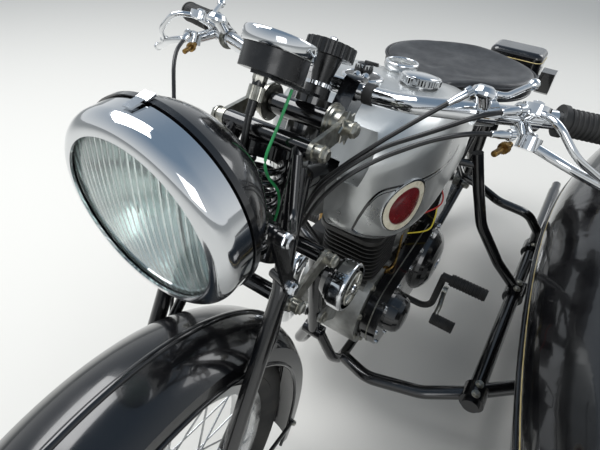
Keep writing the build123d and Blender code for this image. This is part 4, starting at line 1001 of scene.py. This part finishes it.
rolled = [(-9, 31.3), (-8, 33), (1.6, 33.2), (3.6, 31.6), (4, 28.6), (2.4, 27), (0.4, 27.4), (0.3, 30)]
piece("ammeter_bezel", ring_of(rolled, 56), polished_chrome, "frame", 60, ammeter_frame)

# %% [markdown]
# ## Saddle
#
# The single seat is a pan with a stuffed cover: wide behind, pulled in along the sides to a
# narrow nose, crowned at its rim and dished where the rider sits. Its outline is the CAD
# saddle's, drawn here from the same arcs, and each ring of points is that outline drawn in
# towards a spine at its own height. Pulled cloth shows as a slow curved crease behind the nose.

# %% The saddle's outline and its rings
def arc_through(a, b, c, count):
    """Points on the circle through three flat points, the last left out."""
    ax, ay = a
    bx, by = b
    cx, cy = c
    d = 2 * (ax * (by - cy) + bx * (cy - ay) + cx * (ay - by))
    ux = ((ax * ax + ay * ay) * (by - cy) + (bx * bx + by * by) * (cy - ay)
        + (cx * cx + cy * cy) * (ay - by)) / d
    uy = ((ax * ax + ay * ay) * (cx - bx) + (bx * bx + by * by) * (ax - cx)
        + (cx * cx + cy * cy) * (bx - ax)) / d
    radius = hypot(ax - ux, ay - uy)
    start = atan2(ay - uy, ax - ux)
    turn = (atan2(cy - uy, cx - ux) - start) % (2 * pi)
    through = (atan2(by - uy, bx - ux) - start) % (2 * pi)
    if through > turn:
        turn -= 2 * pi
    return [(ux + radius * cos(start + turn * n / count), uy + radius * sin(start + turn * n / count))
        for n in range(count)]


right_half = (arc_through((16, 0), (33, -64), (68, -120), 8)
    + arc_through((68, -120), (126, -184), (214, -204), 10)
    + arc_through((214, -204), (300, -170), (352, -96), 9)
    + [(352 + 52 * t, -96 + 50 * t) for t in (0.0, 0.25, 0.5, 0.75)]
    + arc_through((404, -46), (428, -33), (438, 0), 6))
outline = right_half + [(438, 0)] + [(x, -y) for x, y in reversed(right_half[1:])]
saddle_rings = ((0.955, 757, 0), (0.99, 760, 0), (1.0, 768, 0), (1.0, 782, 0), (0.99, 791, 0),
    (0.955, 798, 0.1), (0.89, 801.5, 0.3), (0.78, 802, 0.6), (0.64, 800.5, 0.85), (0.48, 799, 1),
    (0.32, 798, 1), (0.16, 797.5, 1))
SPINE_FROM, SPINE_TO = 150, 350
DISH_DEPTH = 5.0
CREASE_DEPTH = 3.0
points = []
size = len(outline)
for share, height_z, dish in saddle_rings:
    for x, y in outline:
        spine_x = min(max(x, SPINE_FROM), SPINE_TO)
        x, y = spine_x + (x - spine_x) * share, y * share
        dip = DISH_DEPTH * dish * max(0, 1 - ((x - 170) / 150) ** 2)
        fold = max(0, 1 - abs(hypot(x - 196, y) - 118) / 15) if x > SPINE_FROM else 0
        points.append((x, y, height_z - dip - CREASE_DEPTH * dish * fold))
rows = len(saddle_rings)
seat = piece("saddle_cover", (points, quads(rows, size) + caps(rows, size)), leathercloth, "frame", 60)
finer = seat.modifiers.new("stuffing", "SUBSURF")
finer.levels = finer.render_levels = 2
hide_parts("saddle")
wire("saddle_piping", [(x, y, 790.5) for x, y in outline], 3.6, leathercloth, "frame", closed=True, count=8)
wire("saddle_rim", [(214 + (x - 214) * 0.985, y * 0.985, 759) for x, y in outline], 3.2, black_enamel,
    "frame", closed=True, count=8)
print("saddle outline of", size, "points")

# %% [markdown]
# ## Engine
#
# The primary chaincase is a pressed steel cover held by cheese-headed screws all round its
# edge. The screws follow the case's outline: two arcs round the crank and the clutch and the
# straight runs between them.

# %% Screws round the chaincase
CRANK = (683, 288)
CLUTCH = (452, 306)
CASE_FACE = 126


def belt_outline(front, back, front_radius, back_radius, count):
    """Even points round two circles joined by their outer tangents."""
    length = hypot(front[0] - back[0], front[1] - back[1])
    lean = atan2(front[1] - back[1], front[0] - back[0])
    open_angle = acos((back_radius - front_radius) / length)
    ring = []
    for middle, radius, start, sweep in ((front, front_radius, lean - open_angle, 2 * open_angle),
        (back, back_radius, lean + open_angle, 2 * (pi - open_angle))):
        for n in range(25):
            angle = start + sweep * n / 24
            ring.append((middle[0] + radius * cos(angle), middle[1] + radius * sin(angle)))
    return even_points(ring, count)


def even_points(ring, count):
    """Points at equal distances along a closed flat outline."""
    ahead = ring[1:] + ring[:1]
    lengths = [hypot(b[0] - a[0], b[1] - a[1]) for a, b in zip(ring, ahead)]
    result = []
    for n in range(count):
        goal = sum(lengths) * n / count
        k = 0
        while goal > lengths[k]:
            goal -= lengths[k]
            k += 1
        (ax, ay), (bx, by) = ring[k], ahead[k]
        result.append((ax + (bx - ax) * goal / lengths[k], ay + (by - ay) * goal / lengths[k]))
    return result


screw_ring = belt_outline(CRANK, CLUTCH, 90, 104, 15)
parts = []
cheese_head = turned([(-1, 7.6), (1.2, 7.6), (1.3, 6), (4.2, 6), (5.2, 5.2), (5.6, 3.4)], 20)
for x, z in screw_ring:
    parts.append(placed(cheese_head, frame_on((x, CASE_FACE, z), (0, 1, 0))))
piece("chaincase_screws", joined(*parts), polished_chrome, "frame", 30)
edge = belt_outline(CRANK, CLUTCH, 98.6, 112.6, 120)
wire("chaincase_joint", [(x, 104, z) for x, z in edge], 1.6, zinc_plate, "frame", closed=True, count=6)

# %% [markdown]
# An oval inspection cap sits on the clutch dome. The bolts at the crankcase's joint and at the
# cylinder's foot are zinc-plated hexagons, those on the head are black, and a brass union
# carries the oil pipe.

# %% Inspection cap and engine bolts
cap_place = frame_on((452, 164.4, 306), (0, 1, 0), (1, 0, 0))
points, faces = turned([(0, 24), (1.6, 24), (2.4, 22.56), (3.2, 14.4), (3.4, 4.8)], 40)
oval = [(x, y * 15 / 24, z) for x, y, z in points]
piece("inspection_cap", (oval, faces), polished_chrome, "frame", 40, cap_place)
flange = [arc(CRANK, 109, angle, angle, 1)[0] for angle in (20, 62, 118, 200, 242, 300, 340)]
case_bolts = outward(*[(x, 78, z) for x, z in flange])
case_bolts += [((CRANK[0] + x, y, 404), (0, 0, 1)) for x in (-52, 52) for y in (-52, 52)]
bolts("case_bolts", case_bolts, 15, 6, zinc_plate, "frame")
head_angles = [2 * pi * n / 7 + 0.3 for n in range(7)]
head_bolts = [((CRANK[0] + 58 * cos(a), -8 + 62 * sin(a), 532), (0, 0, 1)) for a in head_angles]
bolts("head_bolts", head_bolts, 14, 7, black_iron, "frame")
frame_bolts = outward((876, 22.2, 372), (0, 105, AXLE_HEIGHT))
bolts("frame_bolts", frame_bolts, 26, 8, zinc_plate, "frame")

# %% Sparking plug, its lead and the oil union
plug_place = Matrix.Translation((CRANK[0], -8, 0))
hexagon = turned([(560, 11), (568, 11)], 6)
collar = turned([(555, 8), (560, 9), (568.2, 8), (570, 7)], 20)
piece("plug_body", joined(hexagon, collar), old_brass, "frame", 30, plug_place)
ceramic = [(569, 6), (572, 7), (576, 6), (580, 6.6), (584, 5.6), (590, 4.6), (594, 4)]
piece("plug_insulator", turned(ceramic, 20), white_ceramic, "frame", 40, plug_place)
wire("plug_lead",
    [(683, -8, 596), (680, -4, 606), (662, 14, 604), (628, 30, 560), (596, 30, 510), (574, 22, 478)], 3.4,
    cable_vinyl, "frame")
collar = turned([(0, 8), (1, 11), (7, 11), (8, 8)], 24)
hexagon = turned([(8, 7), (14, 7), (15, 5)], 6)
piece("oil_union", joined(collar, hexagon), old_brass, "frame", 30, frame_on((657, 74, 387), (0.4, 0.8, 0.4)))
wire("oil_pipe",
    [(660, 82, 392), (650, 92, 408), (610, 84, 430), (560, 70, 470), (500, 66, 500), (468, 70, 520)], 3.2,
    old_brass, "frame")
wire("battery_wire", [(470, 112, 560), (490, 128, 545), (520, 128, 536), (560, 100, 520), (576, 50, 468)],
    2.0, red_vinyl, "frame")
wire("dynamo_wire", [(466, 116, 500), (480, 122, 470), (496, 118, 440), (530, 80, 430), (556, 44, 430)], 2.0,
    yellow_vinyl, "frame")

# %% [markdown]
# The horn faces left beside the down tube: a chromed rim round a black face with a plated
# grille of sixteen ribs, and a small chromed boss in the middle.

# %% Horn face
horn_frame = frame_on((900, 84, 530.3), (0, 1, 0), (1, 0, 0))
rolled = [(-26, 52.4), (-25, 54.2), (-3, 54.4), (1.5, 53), (4.2, 49), (4, 46.4), (-2, 50), (-4, 52.2)]
screw = turned([(6.3, 10), (8.6, 9), (9.6, 5)], 24)
piece("horn_rim", joined(ring_of(rolled, 64), screw), polished_chrome, "frame", 50, horn_frame)
parts = []
for n in range(16):
    rib = prism([(14, -1.6, 5), (34, -3.4, 4), (34, 3.4, 4), (14, 1.6, 5)],
        [(14, -1.0, 8), (33, -2.2, 6.6), (33, 2.2, 6.6), (14, 1.0, 8)])
    parts.append(placed(rib, Matrix.Rotation(2 * pi * n / 16, 4, "Z")))
parts.append(ring_of([(4, 33), (6.8, 33.4), (7.2, 36), (5, 38)], 48))
piece("horn_grille", joined(*parts), zinc_plate, "frame", 30, horn_frame)

# %% [markdown]
# ## Chain
#
# The drive chain runs from the gearbox sprocket to the rear one. One link is a pair of
# plates and a roller. Geometry Nodes puts a link on every point of the chain's path, turned
# along it, with inner and outer links taking turns.

# %% Links along the chain's path
LINKS = 86
PLATE_THICK = 0.0014
linking, given = tree_on_points("chain_links", ("Pitch", "Plate Gap", "Roller Radius"))
size = put(linking, "ShaderNodeCombineXYZ",
    {"X": times(linking, given["Pitch"], 1.62), "Y": PLATE_THICK, "Z": times(linking, given["Pitch"], 0.66)})
plate = put(linking, "GeometryNodeMeshCube", {"Size": size.outputs[0]}).outputs[0]
roller = put(linking, "GeometryNodeMeshCylinder",
    {"Vertices": 12, "Radius": given["Roller Radius"], "Depth": given["Plate Gap"]}).outputs[0]
forms = [moved(linking, plate, Y=times(linking, given["Plate Gap"], side)) for side in (-0.5, 0.5)]
forms.append(moved(linking, roller, (pi / 2, 0, 0), X=times(linking, given["Pitch"], 0.5)))
width = put(linking, "GeometryNodeInputNamedAttribute", {"Name": "width"}, data_type="FLOAT")
set_on_points(linking, given, forms, "X", X=1, Y=width.outputs[0], Z=1)
path_points = belt_outline(CLUTCH, (0, AXLE_HEIGHT), 40, 105.2, LINKS)
places = []
for n, (x, z) in enumerate(path_points):
    ahead, behind = path_points[(n + 1) % LINKS], path_points[n - 1]
    places.append(((x, 60, z), (ahead[0] - behind[0], 0, ahead[1] - behind[1])))
pitch = hypot(path_points[1][0] - path_points[0][0], path_points[1][1] - path_points[0][1])
chain = run_tree("roller_chain", linking, places,
    {"Pitch": pitch / 1000, "Plate Gap": 0.013, "Roller Radius": 0.0042}, chain_steel, "frame",
    [1 if n % 2 else 0.76 for n in range(LINKS)])
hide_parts("drive_chain")
print("chain pitch", round(pitch, 2))

# %% [markdown]
# ## Pegs, lamp and case behind
#
# The foot pegs and the gear pedal wear ribbed rubbers. At the back a red lens closes the tail
# lamp, and the glossy case behind the saddle has a thin pale line round its lid.

# %% Peg and pedal rubbers
parts = []
ribbed = ((458, 278, 222, 320, 17, 9), (458, 278, -320, -222, 17, 9), (572, 218, 218, 276, 15, 8))
sleeves = ((572, 218, 214.5, 62, 15), (404, 408, -230.5, 46, 10), (650, 262, -196.5, 40, 10))
for x, z, y_from, y_to, radius, step in ribbed:
    rib = ring_of([(0, radius - 0.6), (0.8, radius + 2), (4, radius + 2), (4.8, radius - 0.6)], 32)
    parts += [placed(rib, frame_on((x, y, z), (0, 1, 0))) for y in range(y_from, y_to, step)]
for x, z, y_from, length, radius in sleeves:
    sleeve = [(0, radius - 4), (0.4, radius + 1), (length, radius + 1), (length + 0.4, radius - 4)]
    parts.append(placed(turned(sleeve, 28), frame_on((x, y_from, z), (0, 1, 0))))
piece("peg_rubbers", joined(*parts), rubber_mat, "frame", 35)

# %% Tail lens, its rim and the case's line
tail_frame = frame_on((-400, 0, 523), (-16, 0, 7), (0, 1, 0))
piece("tail_lens", turned([(-0.6, 27), (3, 27), (8, 24), (12, 17), (13.6, 7), (13.8, 2)], 40), tail_red,
    "frame", 50, tail_frame)
piece("tail_rim", ring_of([(-1, 27.2), (-1, 31.4), (2, 31), (4.2, 28.8), (3, 27.2)], 48), polished_chrome,
    "frame", 50, tail_frame)
lid = []
for cx, cy, start in ((-156, 150, 0), (-224, 150, 90), (-224, 34, 180), (-156, 34, 270)):
    lid += [(x, y, 748) for x, y in arc((cx, cy), 26.6, start, start + 90, 15)]
wire("case_line", lid, 1.3, coach_gold, "frame", closed=True, count=6)
plate_bolts = [((-392.4, y, z), (-1, 0, 0)) for y in (-78, 78) for z in (392, 470)]
bolts("plate_bolts", plate_bolts, 9, 3, zinc_plate, "frame")

# %% [markdown]
# ## Sidecar seat
#
# The seat is a thick cushion and a back squab covered in the same leathercloth as the saddle,
# pulled down into channels by rows of stitching. A grid of points swells between the channels,
# which gives the padding its soft rolls, and its sides bulge a little as stuffed cloth does.

# %% A channelled pad from a grid of points
SEAT_Y = 695


def channelled_pad(length, width, thick, radius, channels, puff, along=40, across=84):
    """A pad whose rolls run along x: a swollen top grid, bulging sides and a flat base."""
    def top_place(i, j):
        u, v = 2 * i / along - 1, 2 * j / across - 1
        pull = radius * 0.293
        x = (length / 2 - pull * abs(v) ** 6) * u
        y = (width / 2 - pull * abs(u) ** 6) * v
        roll = abs(sin(pi * (v + 1) / 2 * channels)) ** 0.6
        edge = (1 - abs(u) ** 10) * (1 - abs(v) ** 14)
        return x, y, thick - 7 * (1 - edge) + puff * roll * edge

    points = [top_place(i, j) for i in range(along + 1) for j in range(across + 1)]
    faces = [(i * (across + 1) + j, (i + 1) * (across + 1) + j, (i + 1) * (across + 1) + j + 1,
            i * (across + 1) + j + 1) for i in range(along) for j in range(across)]
    loop = list(range(across)) + [i * (across + 1) + across for i in range(along)]
    loop += [len(points) - 1 - n for n in loop]
    edge_points = [points[n] for n in loop]
    size = len(loop)
    before = loop
    for share, level in ((1.008, 0.86), (1.012, 0.7), (1.012, 0.5), (1.006, 0.3), (0.99, 0.12), (0.96, 0.0)):
        start = len(points)
        points += [(x * share, y * share, z * level) for x, y, z in edge_points]
        row = list(range(start, start + size))
        faces += [(before[n], before[(n + 1) % size], row[(n + 1) % size], row[n]) for n in range(size)]
        before = row
    faces.append(tuple(before))
    return points, faces, edge_points


# %% Cushion and squab
points, faces, rim_points = channelled_pad(424, 404, 108, 60, 7, 9)
cushion_place = Matrix.Translation((49, SEAT_Y, 324))
cushion = piece("sidecar_cushion", (points, faces), leathercloth, "frame", 50, cushion_place)
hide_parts("sidecar_seat")
wire("cushion_piping",
    [tuple(cushion_place @ Vector((x * 1.004, y * 1.004, z - 2))) for x, y, z in rim_points[::8]], 3.2,
    leathercloth, "frame", closed=True, count=8)
points, faces, rim_points = channelled_pad(218, 366, 100, 50, 7, 8, 36, 84)


def lean_back(x, y, z):
    """A squab point, with the wedge's slant: thick at its foot and thinner at the top."""
    up = (x + 109) / 218
    front, back = -96 - 56 * up, -214
    return (back + (front - back) * z / 100, SEAT_Y + y, 446 + 218 * up)


squab = piece("sidecar_squab", ([lean_back(*p) for p in points], faces), leathercloth, "frame", 50)
wire("squab_piping", [lean_back(x * 1.004, y * 1.004, z - 2) for x, y, z in rim_points[::8]], 3.0,
    leathercloth, "frame", closed=True, count=8)
print("seat of", len(cushion.data.polygons) + len(squab.data.polygons), "faces")

# %% [markdown]
# ## Sidecar trim
#
# A half-round bead hides the joint where the lower panels meet the top, and a thin gold coach
# line runs above it. Both follow the real surface, which is found by looking across at it.
# The cockpit's edge is bound with a leathercloth roll and the screen's with a plated channel.

# %% Looking at the shell from the side and from above
def on_shell(x, y, z, way):
    """Where a look from a point along a direction meets the sidecar's shell, in millimetres."""
    hit, place, normal, index = frame["nodes"]["sidecar_body"].ray_cast(at(x, y, z), Vector(way))
    return to_mm(place) if hit else None


def skin_below(x, y):
    """The shell's top surface at a place, seen from above."""
    return on_shell(x, y, 1000, (0, 0, -1))


def side_line(side, height_z, start, stop, count):
    """Places on the shell's left (1) or right (-1) at a height, seen from outside."""
    along = [start + (stop - start) * n / count for n in range(count + 1)]
    seen = [on_shell(x, SEAT_Y + side * 600, height_z, (0, -side, 0)) for x in along]
    return [p for p in seen if p]


# %% Bead and coach line
BEAD_FROM, BEAD_TO = -552, 1422
beads = []
gold = []
for side in (1, -1):
    beads.append(swept(side_line(side, 450, BEAD_FROM, BEAD_TO, 60), round_section(5.5, 12)))
    line = side_line(side, 466, BEAD_FROM + 10, BEAD_TO - 20, 90)
    gold.append(ribbon("sidecar_body", line, 3.6, 0.3))
piece("sidecar_bead", joined(*beads), black_enamel, "frame", 50)
piece("sidecar_coach_line", joined(*gold), coach_gold, "frame", 60)

# %% Cockpit roll and screen edge
OPENING = (30, 260, 192, 120)
roll = []
for cx, cy, start in ((1, 1, 0), (-1, 1, 90), (-1, -1, 180), (1, -1, 270)):
    middle, half_x, half_y, corner = OPENING
    for step in range(0, 91, 10):
        angle = radians(start + step)
        x = middle + cx * (half_x - corner) + corner * cos(angle)
        y = SEAT_Y + cy * (half_y - corner) + corner * sin(angle)
        top_there = skin_below(x + 7 * cos(angle), y + 7 * sin(angle))
        roll.append((x - 1.5 * cos(angle), y - 1.5 * sin(angle), top_there.z - 3))
wire("cockpit_roll", roll, 9, leathercloth, "frame", closed=True, count=14)
screen_up = Vector((-0.35, 0, 1)).normalized()
screen_middle = Vector((354.4, SEAT_Y, 690.8))
corner = arc((132, 70), 60, 0, 90, 15)
half_edge = [(-192, -40), (-192, 0), (-192, 40)] + [(-y, up) for y, up in corner] + [(-60, 130)]
whole_edge = half_edge + [(0, 130)] + [(-y, up) for y, up in reversed(half_edge)]
edge = [screen_middle + Vector((0, y, 0)) + screen_up * up for y, up in whole_edge]
wire("screen_edge", edge, 4.2, polished_chrome, "frame", count=10)
screen_bolts = []
for across_y in (-150, -50, 50, 150):
    foot = skin_below(366, SEAT_Y + across_y)
    screen_bolts.append(((366, SEAT_Y + across_y, foot.z + 9), (1, 0, 0.35)))
bolts("screen_bolts", screen_bolts, 11, 4, polished_chrome, "frame")

# %% Bolts of the sidecar's clamps
chassis_bolts = [((x + shift, 385, 277.6), (0, 0, 1)) for x in (767, 359, 112) for shift in (-15, 15)]
bolts("chassis_bolts", chassis_bolts, 17, 7, zinc_plate, "frame")

# %% [markdown]
